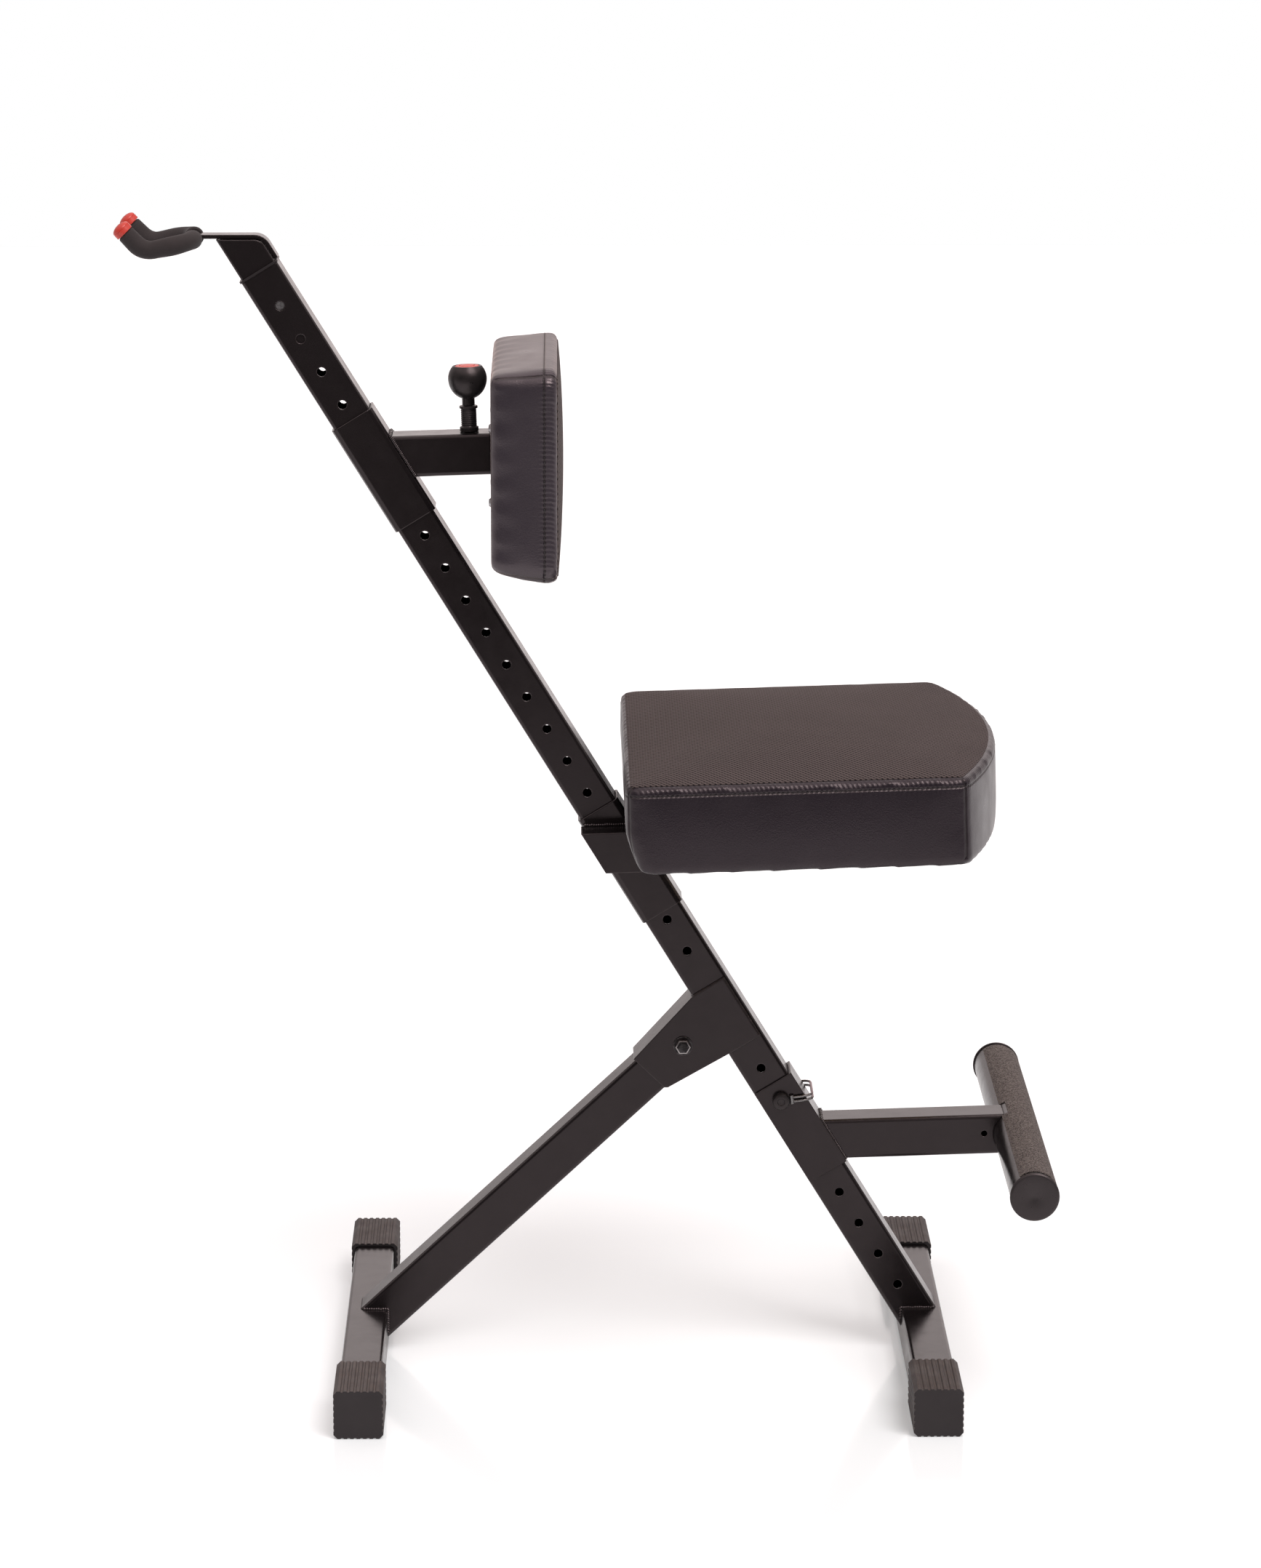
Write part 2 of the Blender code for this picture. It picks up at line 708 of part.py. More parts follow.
def pull_knob(name, place, tip, body, pin_body):
    # place has its Z out of the wall that the barrel stands on; tip is the pin's end below it
    bore = pin_radius + pin_play
    top = weld_gap + barrel_height
    base_top = weld_gap + barrel_base_height
    lip_from = top - barrel_lip_height
    turned(name + "_barrel", [(barrel_lip_radius, top), (barrel_lip_radius, lip_from),
                              (barrel_radius, lip_from), (barrel_radius, base_top),
                              (barrel_base_radius, base_top), (barrel_base_radius, weld_gap),
                              (bore, weld_gap), (bore, top)], place, "plastic", body)
    neck_from = top + pin_neck_gap
    neck_top = neck_from + pin_neck_height
    turned(name + "_pin", [(0, neck_top), (pin_neck_radius, neck_top), (pin_neck_radius, neck_from),
                           (pin_radius, neck_from), (pin_radius, tip), (0, tip)], place, "plastic", pin_body)
    foot = neck_top + weld_gap
    head = foot + knob_height
    wide = foot + knob_height * knob_wide_share
    upper = math.acos(knob_top_radius / knob_radius)
    lower = math.acos(knob_foot_radius / knob_radius)
    floor = head - insert_height
    ball = [(0, floor), (insert_radius + weld_gap, floor), (insert_radius + weld_gap, head)]
    for step in range(knob_steps + 1):
        angle = upper * (1 - step / knob_steps)
        ball.append((knob_radius * math.cos(angle), wide + (head - wide) * math.sin(angle) / math.sin(upper)))
    for step in range(1, knob_steps + 1):
        angle = lower * step / knob_steps
        ball.append((knob_radius * math.cos(angle), wide - (wide - foot) * math.sin(angle) / math.sin(lower)))
    ball.append((0, foot))
    turned(name + "_ball", ball, place, "plastic", pin_body)
    solid(name + "_insert", cylinder(insert_radius, round_sides, floor + weld_gap, head + weld_gap),
          place, "red", pin_body)


def far_lock(name, hole, thing, body):
    middle = on_post(first_hole_drop + hole * hole_pitch)
    place = post_frame @ moved(0, sleeve_half, post_length - first_hole_drop - hole * hole_pitch) @ toward_far
    cut(thing, cylinder(pin_radius + pin_play, round_sides, half - sleeve_half, cut_overrun), place)
    tip = half + sleeve_play - sleeve_half
    pull_knob(name, place, tip, body, joint_empty(name + "_axis", middle))


# Backrest: sleeve, arm and the bar of the pad, which slides in the arm.
backrest_hole = on_post(first_hole_drop + backrest_hole_index * hole_pitch)
backrest = joint_empty("backrest_slide_axis", backrest_hole)
backrest_sleeve = sleeve("backrest_sleeve", backrest_hole_index, 0, backrest_sleeve_length, backrest)
far_lock("backrest_lock", backrest_hole_index, backrest_sleeve, backrest)
backrest_arm_root = backrest_hole + Vector((backrest_arm_out, 0, backrest_arm_lift))
backrest_frame = tilted(backrest_arm_root, -rise)
lengthways = Matrix.Rotation(quarter_turn, 4, "Y")
backrest_back_x = backrest_arm_root.x + backrest_pad_out
plate_rear = backrest_back_x + weld_gap
arm_reach = (plate_rear - arm_end_gap - backrest_arm_root.x) / math.cos(rise)
backrest_arm = solid("backrest_arm", square_tube(tube_size, tube_wall, -backrest_sleeve_length, arm_reach),
                     backrest_frame @ lengthways, "powder", backrest)
behind_sleeve = box((-reach, -reach, -reach), (sleeve_half + weld_gap, reach, reach + post_length))
cut(backrest_arm, behind_sleeve, post_frame)
knob_along = arm_knob_out / math.cos(rise)
knob_place = backrest_frame @ moved(knob_along, 0, half)
cut(backrest_arm, cylinder(pin_radius + pin_play, round_sides, -half, cut_overrun), knob_place)
pull_knob("arm_knob", knob_place, -tube_wall, backrest,
          joint_empty("arm_knob_axis", backrest_frame @ Vector((knob_along, 0, 0))))

pad = joint_empty("backrest_depth_axis", backrest_arm_root)
insert_size = tube_size - 2 * tube_wall - 2 * slide_gap
insert_reach = (plate_rear - backrest_arm_root.x) / math.cos(rise)
insert_bar = solid("insert_bar", square_tube(insert_size, tube_wall, insert_reach - insert_bar_length,
                                             insert_reach + cut_overrun, tube_corner / 2 + weld_gap),
                   backrest_frame @ lengthways, "powder", pad)
cut(insert_bar, box((plate_rear - weld_gap, -reach, -reach), (reach, reach, reach)))
facing = Matrix(((0, 0, 1, 0), (1, 0, 0, 0), (0, 1, 0, 0), (0, 0, 0, 1)))
pad_frame = moved(backrest_back_x, 0, backrest_arm_root.z - backrest_centre_drop) @ facing
board_from = 2 * weld_gap + insert_plate_sheet
solid("backrest_plate", extruded([rounded_box(insert_plate_width / 2, insert_plate_height / 2,
                                              tube_corner * 2, corner_steps)],
                                 weld_gap, weld_gap + insert_plate_sheet), pad_frame, "powder", pad)
board_half = (backrest_width / 2 - board_inset, backrest_height / 2 - board_inset)
solid("backrest_board", extruded([rounded_box(*board_half, backrest_corner - board_inset, corner_steps)],
                                 board_from, board_from + board_sheet), pad_frame, "board", pad)


def divided(points, longest):
    # adds points along the long straight stretches of a closed outline
    result = []
    for i, point in enumerate(points):
        ahead = points[(i + 1) % len(points)]
        pieces = max(1, math.ceil((ahead - point).length / longest))
        result += [point.lerp(ahead, piece / pieces) for piece in range(pieces)]
    return result


def inset_by(outline, inset):
    result = []
    for i, point in enumerate(outline):
        along = (outline[(i + 1) % len(outline)] - outline[i - 1]).normalized()
        result.append(point + Vector((-along.y, along.x, 0)) * inset)
    return result


def shrunk(outline, share):
    middle = (Vector(map(min, zip(*outline))) + Vector(map(max, zip(*outline)))) / 2
    return [point.lerp(middle, share) for point in outline]


def loft(rings):
    # skin between unlike sections, closed at both ends
    mesh = bmesh.new()
    rows = []
    for ring, height in rings:
        row = [mesh.verts.new((x, y, height)) for x, y, _ in ring]
        rows.append([mesh.edges.new((vert, row[i - 1])) for i, vert in enumerate(row)])
    for low, high in zip(rows, rows[1:]):
        bmesh.ops.bridge_loops(mesh, edges=low + high)
    for end in (rows[0], rows[-1]):
        bmesh.ops.edgeloop_fill(mesh, edges=end)
    bmesh.ops.recalc_face_normals(mesh, faces=mesh.faces)
    return mesh


def crown(outline, inset, height, rise_by):
    # rings that climb from the edge to the middle of a stuffed face
    edge = inset_by(outline, inset)
    return [(shrunk(edge, share), height + rise_by * (1 - (1 - share) ** crown_power))
            for share in crown_shares]


def cushion(name, outline, sides, edge_inset, edge_height, rise_by, place, body):
    skin = panel_sheet + weld_gap
    top = crown(outline, edge_inset, edge_height - skin, rise_by)
    return solid(name, loft(sides + top), place, "vinyl", body, smooth=True)


def panel(name, outline, edge_inset, edge_height, rise_by, place, body):
    under = crown(outline, edge_inset + weld_gap, edge_height - panel_sheet, rise_by)
    over = crown(outline, edge_inset + weld_gap, edge_height, rise_by)
    return solid(name, loft(under[::-1] + over), place, "mesh", body, smooth=True)


corners = [Vector((sx * backrest_width / 2, sy * backrest_height / 2, 0))
           for sx, sy in ((-1, -1), (1, -1), (1, 1), (-1, 1))]
backrest_outline = divided(filleted(corners, [backrest_corner] * 4, corner_steps * 3, True), cushion_spacing)
backrest_insets = [(backrest_draw_in * 2, 0), (backrest_draw_in, backrest_draw_depth * low_draw_share),
                   (0, backrest_draw_depth), (0, backrest_band - backrest_edge),
                   (backrest_edge * edge_round_share, backrest_band - backrest_edge * edge_round_share),
                   (backrest_edge, backrest_band)]
backrest_sides = [(inset_by(backrest_outline, inset), height) for inset, height in backrest_insets]
backrest_cushion = cushion("backrest_cushion", backrest_outline, backrest_sides, backrest_edge,
                           backrest_band + panel_lift, backrest_crown, pad_frame, pad)
pocket_depth = board_from + board_sheet + weld_gap
pocket = rounded_box(board_half[0] + weld_gap, board_half[1] + weld_gap,
                     backrest_corner - board_inset + weld_gap, corner_steps)
cut(backrest_cushion, extruded([pocket], -cut_overrun, pocket_depth), pad_frame)
panel("backrest_panel", backrest_outline, backrest_edge, backrest_band + panel_lift, backrest_crown,
      pad_frame, pad)

# Seat: sleeve, folded bracket welded round it, board and cushion with a rounded front.
seat_hole = on_post(first_hole_drop + seat_hole_index * hole_pitch)
seat = joint_empty("seat_slide_axis", seat_hole)
seat_sleeve = sleeve("seat_sleeve", seat_hole_index, seat_sleeve_drop, seat_sleeve_length, seat)
far_lock("seat_lock", seat_lock_index, seat_sleeve, seat)
seat_web = seat_hole + Vector((-seat_web_behind, 0, seat_web_lift))
web_frame = tilted(seat_web, -rise)
bracket_side = [(-seat_sleeve_length, 0), (seat_bracket_length, 0),
                (seat_bracket_length, -seat_bracket_nose_depth),
                (seat_bracket_full_length, -seat_bracket_depth), (-seat_sleeve_length, -seat_bracket_depth)]
seat_bracket = solid("seat_bracket", extruded([bracket_side], -seat_bracket_half_width,
                                              seat_bracket_half_width),
                     web_frame @ upright, "powder", seat)
channel = seat_bracket_half_width - seat_bracket_sheet
cut(seat_bracket, box((-reach, -channel, -reach), (reach, channel, -seat_bracket_sheet)), web_frame)
cut(seat_bracket, box((-reach, -reach, -reach), (-seat_bracket_rear_reach, reach, reach)), post_frame)
slot = sleeve_half + weld_gap
cut(seat_bracket, box((-reach, -slot, -reach), (slot, slot, reach)), post_frame)

seat_frame = web_frame @ moved(seat_pad_ahead / math.cos(rise), 0, weld_gap)
seat_length = seat_side_length + seat_front_bulge
front_radius = (seat_width ** 2 / 4 + seat_front_bulge ** 2) / (2 * seat_front_bulge)
front_centre = seat_length - front_radius


def seat_plan(inset, corner):
    side = seat_width / 2 - inset
    radius = front_radius - inset
    corners = [Vector((inset, side, 0)), Vector((inset, -side, 0))]
    corners += [Vector((front_centre + math.sqrt(radius ** 2 - (side * share) ** 2), side * share, 0))
                for share in front_shares]
    radii = [corner] * 3 + [0] * (len(front_shares) - 2) + [corner]
    return divided(filleted(corners, radii, corner_steps * 2, True), cushion_spacing)


def seat_ring(inset, height):
    # the rear face is drawn forward towards its base
    drawn = seat_rear_draw * max(0, 1 - height / seat_rear_depth)
    ring = inset_by(seat_outline, inset)
    return ([point + Vector((drawn * (1 - point.x / seat_length), 0, 0)) for point in ring], height)


seat_outline = seat_plan(0, seat_corner)
board_plan = [(p.x, p.y) for p in seat_plan(board_inset, board_corner)]
solid("seat_board", extruded([board_plan], weld_gap, weld_gap + board_sheet), seat_frame, "board", seat)
seat_fold = seat_edge_height + seat_edge
seat_insets = [(seat_draw_in, 0), (seat_draw_in * low_draw_share, seat_draw_depth * low_draw_share),
               (0, seat_draw_depth), (0, seat_rear_depth), (0, seat_edge_height),
               (seat_edge * edge_round_share, seat_fold - seat_edge * edge_round_share),
               (seat_edge, seat_fold)]
seat_sides = [seat_ring(inset, height) for inset, height in seat_insets]
seat_cushion = cushion("seat_cushion", seat_outline, seat_sides, seat_edge, seat_fold + panel_lift,
                       seat_crown, seat_frame, seat)
pocket = [(p.x, p.y) for p in seat_plan(board_inset - weld_gap, board_corner)]
cut(seat_cushion, extruded([pocket], -cut_overrun, board_sheet + 2 * weld_gap), seat_frame, "MANIFOLD")
panel("seat_panel", seat_outline, seat_edge, seat_fold + panel_lift, seat_crown, seat_frame, seat)

# Footrest: saddle open at the rear, arm, round tee bar with a grip strip and end caps.
hitch_drop = lower_group_drop + saddle_hole_index * hole_pitch
footrest = joint_empty("footrest_slide_axis", on_post(hitch_drop))
saddle_top = post_length - hitch_drop + saddle_above_hole
outer = cheek_inner + saddle_sheet
saddle_section = [(-saddle_rear_reach, -outer), (outer, -outer), (outer, outer), (-saddle_rear_reach, outer),
                  (-saddle_rear_reach, cheek_inner), (cheek_inner, cheek_inner),
                  (cheek_inner, -cheek_inner), (-saddle_rear_reach, -cheek_inner)]
saddle = solid("footrest_saddle", extruded([saddle_section], saddle_top - saddle_length, saddle_top),
               post_frame, "powder", footrest)
hitch_place = post_frame @ moved(z=post_length - hitch_drop)
hitch_radius = pin_radius + pin_play
cut(saddle, cylinder(hitch_radius + bolt_play, round_sides, -outer - cut_overrun, outer + cut_overrun),
    hitch_place @ toward_far)
footrest_arm_root = on_post(hitch_drop) + Vector((footrest_arm_out, 0, -footrest_arm_drop))
footrest_frame = tilted(footrest_arm_root, -rise)
footrest_arm = solid("footrest_arm", square_tube(tube_size, tube_wall, -saddle_length,
                                                 footrest_bar_out),
                     footrest_frame @ lengthways, "powder", footrest)
cut(footrest_arm, box((-reach, -reach, -reach), (outer + weld_gap, reach, reach)), post_frame)
bar_x = footrest_arm_root.x + footrest_bar_out
bar_z = footrest_arm_root.z + footrest_bar_lift
bar_place = moved(bar_x, 0, bar_z) @ toward_near
cut(footrest_arm, cylinder(footrest_bar_radius + weld_gap, bar_sides, -tube_size, tube_size), bar_place)
vent_place = moved(bar_x - vent_before_bar, 0, bar_z) @ toward_near
cut(footrest_arm, cylinder(vent_radius, hole_sides, 0, tube_size), vent_place)
bar_outlines = [circle(footrest_bar_radius, bar_sides),
                circle(footrest_bar_radius - footrest_bar_wall, bar_sides)]
solid("footrest_bar", extruded(bar_outlines, -footrest_bar_length / 2, footrest_bar_length / 2), bar_place,
      "powder", footrest, smooth=True)
grip_inner = footrest_bar_radius + weld_gap
grip_outer = grip_inner + grip_sheet
grip_angles = [math.radians(grip_low_deg + (grip_high_deg - grip_low_deg) * step / grip_steps)
               for step in range(grip_steps + 1)]
grip_outline = [(grip_outer * math.cos(a), grip_outer * math.sin(a)) for a in grip_angles]
grip_outline += [(grip_inner * math.cos(a), grip_inner * math.sin(a)) for a in reversed(grip_angles)]
grip_half = footrest_bar_length / 2 - grip_margin
grip = solid("footrest_grip", extruded([grip_outline], -grip_half, grip_half), bar_place, "grip",
             footrest, smooth=True)
notch = half + slide_gap
cut(grip, box((-reach, -notch, -reach), (bar_x - grip_notch_reach, notch, reach)))
plug_radius = footrest_bar_radius - footrest_bar_wall - weld_gap
cap_profile = [(0, end_cap_height), (end_cap_radius - end_cap_bevel, end_cap_height),
               (end_cap_radius, end_cap_height - end_cap_bevel), (end_cap_radius, weld_gap),
               (plug_radius, weld_gap), (plug_radius, -end_cap_plug), (0, -end_cap_plug)]
bar_end = footrest_bar_length / 2
turned("footrest_end_near", cap_profile, moved(bar_x, -bar_end, bar_z) @ toward_near,
       "plastic", footrest, bar_sides)
turned("footrest_end_far", cap_profile, moved(bar_x, bar_end, bar_z) @ toward_far,
       "plastic", footrest, bar_sides)

# Hitch pin through the saddle's cheeks, with a narrow wire bail snapped round the post's front.
hitch = joint_empty("hitch_pull_axis", on_post(hitch_drop))
head_from = outer + weld_gap
turned("hitch_pin", [(0, head_from + hitch_head_height), (hitch_head_radius, head_from + hitch_head_height),
                     (hitch_head_radius, head_from), (hitch_radius, head_from),
                     (hitch_radius, cheek_inner), (0, cheek_inner)],
       hitch_place @ toward_near, "plastic", hitch)
wire_far = outer + wire_gap
tail_end = wire_far - wire_radius - weld_gap
turned("hitch_pin_tail", [(0, tail_end), (hitch_radius, tail_end), (hitch_radius, cheek_inner),
                          (0, cheek_inner)],
       hitch_place @ toward_far, "zinc", hitch)

# The bail turns on a ferrule beside the pin's head; its two strands meet behind the pin's tail.
bail_frame = tilted(on_post(hitch_drop), -math.radians(wire_rise_deg))
wire_near = outer + weld_gap + ferrule_radius
wire_from = hitch_head_radius + weld_gap + ferrule_radius
wire_front = outer / math.cos(lean) + wire_ahead
wire_rear = -hitch_radius - wire_tail_overrun
strand = [(wire_from, -wire_near), (wire_front, -wire_near), (wire_front, wire_far), (wire_rear, wire_far)]
wire_corners = [Vector((x, y, wire_spread / 2)) for x, y in strand]
wire_corners += [Vector((x, y, -wire_spread / 2)) for x, y in reversed(strand)]
wire_turn = wire_spread / 2 - weld_gap
wire_radii = [0, wire_bend, wire_bend, wire_turn, wire_turn, wire_bend, wire_bend, 0]
ferrule_place = bail_frame @ moved(wire_from, -wire_near)
wire_swing = joint_empty("hitch_wire_axis", ferrule_place.translation)
bail = solid("hitch_wire", rod(filleted(wire_corners, wire_radii, wire_steps), wire_radius), bail_frame,
             "zinc", wire_swing, smooth=True)
add(bail, cylinder(ferrule_radius, hole_sides, -ferrule_height / 2, ferrule_height / 2), ferrule_place)
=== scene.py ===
from math import acos, atan2, cos, hypot, pi, radians, sin, sqrt, tan
import bpy
import bmesh
import numpy as np
from mathutils import Matrix, Vector
from mathutils.bvhtree import BVHTree


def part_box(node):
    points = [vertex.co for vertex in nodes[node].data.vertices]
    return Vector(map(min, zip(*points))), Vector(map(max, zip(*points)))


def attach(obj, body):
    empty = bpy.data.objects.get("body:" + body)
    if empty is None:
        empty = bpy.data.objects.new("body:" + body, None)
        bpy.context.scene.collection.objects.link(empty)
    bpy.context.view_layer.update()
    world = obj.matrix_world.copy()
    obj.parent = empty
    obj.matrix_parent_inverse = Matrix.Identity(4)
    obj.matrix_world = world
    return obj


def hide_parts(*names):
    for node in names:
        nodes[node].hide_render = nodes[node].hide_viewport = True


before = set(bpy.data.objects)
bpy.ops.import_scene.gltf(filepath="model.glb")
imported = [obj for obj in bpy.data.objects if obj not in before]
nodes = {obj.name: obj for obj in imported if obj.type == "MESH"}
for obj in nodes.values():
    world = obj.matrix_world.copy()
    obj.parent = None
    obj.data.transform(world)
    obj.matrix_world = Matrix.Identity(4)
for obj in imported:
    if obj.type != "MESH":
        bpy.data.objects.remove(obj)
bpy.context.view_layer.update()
scene = bpy.context.scene
scene.view_settings.view_transform = "Standard"

# ---------------------------------------------------------------------------------------------
# Studio: a long lens a little above the seat, a white sweep behind, soft light from above and a
# dim room on the camera's side, with a flag on each side, so faces turned that way stay dark.
# The floor is a softly lit white table, slightly glossy, so the feet are faintly mirrored in it.
lens_mm = 127.2
long_side_mm = 36.0
camera_place = (-0.02, -5.0375, 1.632)
camera_turn_deg = (77.828, 0.0, -0.697)
floor_half = 9.0
floor_front = -2.6
floor_sink = 0.0002
floor_glow, floor_glow_seen = 0.09, 0.24
sky_level = 0.66
sky_colour = (1.0, 0.9, 0.885)
room_level = 0.16
room_reach = (-0.55, 0.05)
sweep_level = 1.1
ceiling_reach = (0.3, 0.75)
right_flag_reach, right_flag_share = (0.25, 0.5), 0.42
left_flag_reach, left_flag_share = (-0.3, -0.08), 0.5
lamp_level = 1.92
lamp_colour = (1.0, 0.945, 0.93)
lamp_softness_deg = 35.0
lamp_turn_deg = (28.0, 24.0, 0.0)
white = (1, 1, 1)


class Net:
    # a node tree that grows by one node a call; an input is a value or the socket that feeds it
    def __init__(self, tree):
        self.tree = tree

    def fill(self, socket, value):
        if isinstance(value, bpy.types.NodeSocket):
            self.tree.links.new(value, socket)
        else:
            socket.default_value = (*value, 1) if socket.type == "RGBA" else value

    def step(self, kind, inputs=None, **settings):
        made = self.tree.nodes.new(kind)
        for key, value in settings.items():
            setattr(made, key, value)
        for key, value in (inputs or {}).items():
            self.fill(made.inputs[key], value)
        return made

    def maths(self, operation, first, second=0.0):
        return self.step("ShaderNodeMath", {0: first, 1: second}, operation=operation).outputs[0]

    def vectors(self, operation, first, second):
        return self.step("ShaderNodeVectorMath", {0: first, 1: second}, operation=operation).outputs

    def split(self, vector):
        return self.step("ShaderNodeSeparateXYZ", {0: vector}).outputs

    def ranged(self, value, low, high, to_low=0.0, to_high=1.0):
        return self.step("ShaderNodeMapRange", {"Value": value, "From Min": low, "From Max": high,
                                                "To Min": to_low, "To Max": to_high}).outputs["Result"]


camera = bpy.data.objects.new("camera", bpy.data.cameras.new("camera"))
camera.data.sensor_fit = "VERTICAL"
camera.data.sensor_height = long_side_mm
camera.data.lens = lens_mm
camera.data.clip_end = 120.0
camera.location = camera_place
camera.rotation_euler = [radians(a) for a in camera_turn_deg]
scene.collection.objects.link(camera)
scene.camera = camera

sky = bpy.data.worlds.new("white_sweep")
scene.world = sky
sky.use_nodes = True
sky.node_tree.nodes.clear()
net = Net(sky.node_tree)
rays = net.step("ShaderNodeLightPath").outputs
heading = net.split(net.step("ShaderNodeTexCoord").outputs["Generated"])
level = net.ranged(heading["Y"], *room_reach, room_level, sweep_level)
for reach, shares in ((right_flag_reach, (1.0, right_flag_share)),
                      (left_flag_reach, (left_flag_share, 1.0))):
    level = net.maths("MULTIPLY", level, net.ranged(heading["X"], *reach, *shares))
level = net.maths("MAXIMUM", level, net.ranged(heading["Z"], *ceiling_reach, 0.0, sweep_level))
level = net.maths("MULTIPLY", level, net.ranged(rays["Is Glossy Ray"], 0.0, 1.0, sky_level, 1.0))
seen = net.maths("MAXIMUM", rays["Is Camera Ray"], rays["Is Transmission Ray"])
glow = net.step("ShaderNodeBackground", {"Color": sky_colour, "Strength": level}).outputs[0]
backdrop = net.step("ShaderNodeBackground", {"Color": white, "Strength": 1.0}).outputs[0]
glow = net.step("ShaderNodeMixShader", {0: seen, 1: glow, 2: backdrop}).outputs[0]
net.step("ShaderNodeOutputWorld", {"Surface": glow})

lamp = bpy.data.objects.new("overhead_lamp", bpy.data.lights.new("overhead_lamp", "SUN"))
lamp.data.energy = lamp_level
lamp.data.color = lamp_colour
lamp.data.angle = radians(lamp_softness_deg)
lamp.rotation_euler = [radians(a) for a in lamp_turn_deg]
scene.collection.objects.link(lamp)

floor_mesh = bpy.data.meshes.new("floor")
corners = [(-floor_half, floor_front, 0), (floor_half, floor_front, 0),
           (floor_half, floor_half, 0), (-floor_half, floor_half, 0)]
floor_mesh.from_pydata(corners, [], [(0, 1, 2, 3)])
floor = bpy.data.objects.new("floor", floor_mesh)
floor.location.z = -floor_sink
scene.collection.objects.link(floor)
white_floor = bpy.data.materials.new("white_floor")
white_floor.use_nodes = True
net = Net(white_floor.node_tree)
seen = net.step("ShaderNodeLightPath").outputs["Is Camera Ray"]
for key, value in (("Base Color", (0.91, 0.96, 0.98)), ("Roughness", 0.11),
                   ("Specular IOR Level", 0.35), ("Emission Color", white),
                   ("Emission Strength", net.ranged(seen, 0.0, 1.0, floor_glow, floor_glow_seen))):
    net.fill(net.tree.nodes["Principled BSDF"].inputs[key], value)
floor_mesh.materials.append(white_floor)

# ---------------------------------------------------------------------------------------------
# Frame: square steel tube and folded sheet, cut, welded and sprayed with a satin black powder
# coat. The coat is slightly pebbled, and its outer edges are painted paler, partly as wear and partly
# as a painted highlight.
steel_parts = ("post", "front_foot_bar", "leg_bracket", "rear_leg", "rear_foot_bar", "hanger_tube",
               "hanger_strap", "backrest_sleeve", "backrest_arm", "insert_bar", "backrest_plate",
               "seat_sleeve", "seat_bracket", "footrest_saddle", "footrest_arm")
coat_black = (0.0085, 0.007, 0.0074)
coat_cloud = (0.011, 0.0092, 0.0096)
coat_worn_and_edge_highlight = (0.105, 0.09, 0.088)
warm_shine = (1.0, 0.84, 0.86)
tube_rounding = 0.0015


class Look(Net):
    # a material that reads the object's own axes, with its constants set on the shader itself
    def __init__(self, name, roughness=0.5, metallic=0.0, **sockets):
        self.made = bpy.data.materials.new(name)
        self.made.use_nodes = True
        super().__init__(self.made.node_tree)
        self.place = self.step("ShaderNodeTexCoord").outputs["Object"]
        self.feed(Roughness=roughness, Metallic=metallic, Specular_Tint=warm_shine, **sockets)

    def feed(self, **sockets):
        for key, value in sockets.items():
            self.fill(self.tree.nodes["Principled BSDF"].inputs[key.replace("_", " ")], value)

    def noise(self, scale, detail=3.0, at=None):
        inputs = {"Vector": self.place if at is None else at, "Scale": scale, "Detail": detail,
                  "Roughness": 0.55}
        return self.step("ShaderNodeTexNoise", inputs).outputs["Fac"]

    def blend(self, share, low, high):
        mix = self.step("ShaderNodeMix", {"Factor": share}, data_type="RGBA")
        self.fill(mix.inputs[6], low)
        self.fill(mix.inputs[7], high)
        return mix.outputs[2]

    def tone(self, scale, low, high):
        return self.blend(self.noise(scale), low, high)

    def bump(self, height, strength, depth, under=None):
        inputs = {"Height": height, "Strength": strength, "Distance": depth}
        if under is not None:
            inputs["Normal"] = under
        return self.step("ShaderNodeBump", inputs).outputs["Normal"]

    def grain(self, scale, strength, depth, under=None, detail=3.0):
        return self.bump(self.noise(scale, detail), strength, depth, under)

    def rounding(self, radius, samples=6):
        return self.step("ShaderNodeBevel", {"Radius": radius}, samples=samples).outputs["Normal"]

    def edges(self, rounded, low=0.985, high=0.86):
        # 1 where the rounded normal leaves the flat one, which is along an edge
        flat = self.step("ShaderNodeNewGeometry").outputs["Normal"]
        return self.ranged(self.vectors("DOT_PRODUCT", rounded, flat)["Value"], low, high)

    def shine(self, scale, low, high, detail=3.0):
        # a roughness that drifts between two values
        self.feed(Roughness=self.ranged(self.noise(scale, detail), 0.3, 0.7, low, high))


def powder_coat(name, rounding):
    look = Look(name, Specular_IOR_Level=0.5)
    rounded = look.rounding(rounding)
    # paler edges in patches: partly wear, partly a painted highlight where rounded edges catch the
    # light
    worn_and_highlight = look.maths("MULTIPLY", look.edges(rounded), look.noise(160.0, 4.0))
    body = look.blend(look.ranged(look.noise(14.0), 0.35, 0.7), coat_black, coat_cloud)
    look.feed(Base_Color=look.blend(worn_and_highlight, body, coat_worn_and_edge_highlight),
              Normal=look.grain(1100.0, 0.07, 0.0004, rounded, 2.0))
    look.shine(60.0, 0.17, 0.25)
    return look.made


def dressed(names, material):
    for name in names:
        nodes[name].data.materials.clear()
        nodes[name].data.materials.append(material)


dressed(steel_parts, powder_coat("tube_powder_coat", tube_rounding))
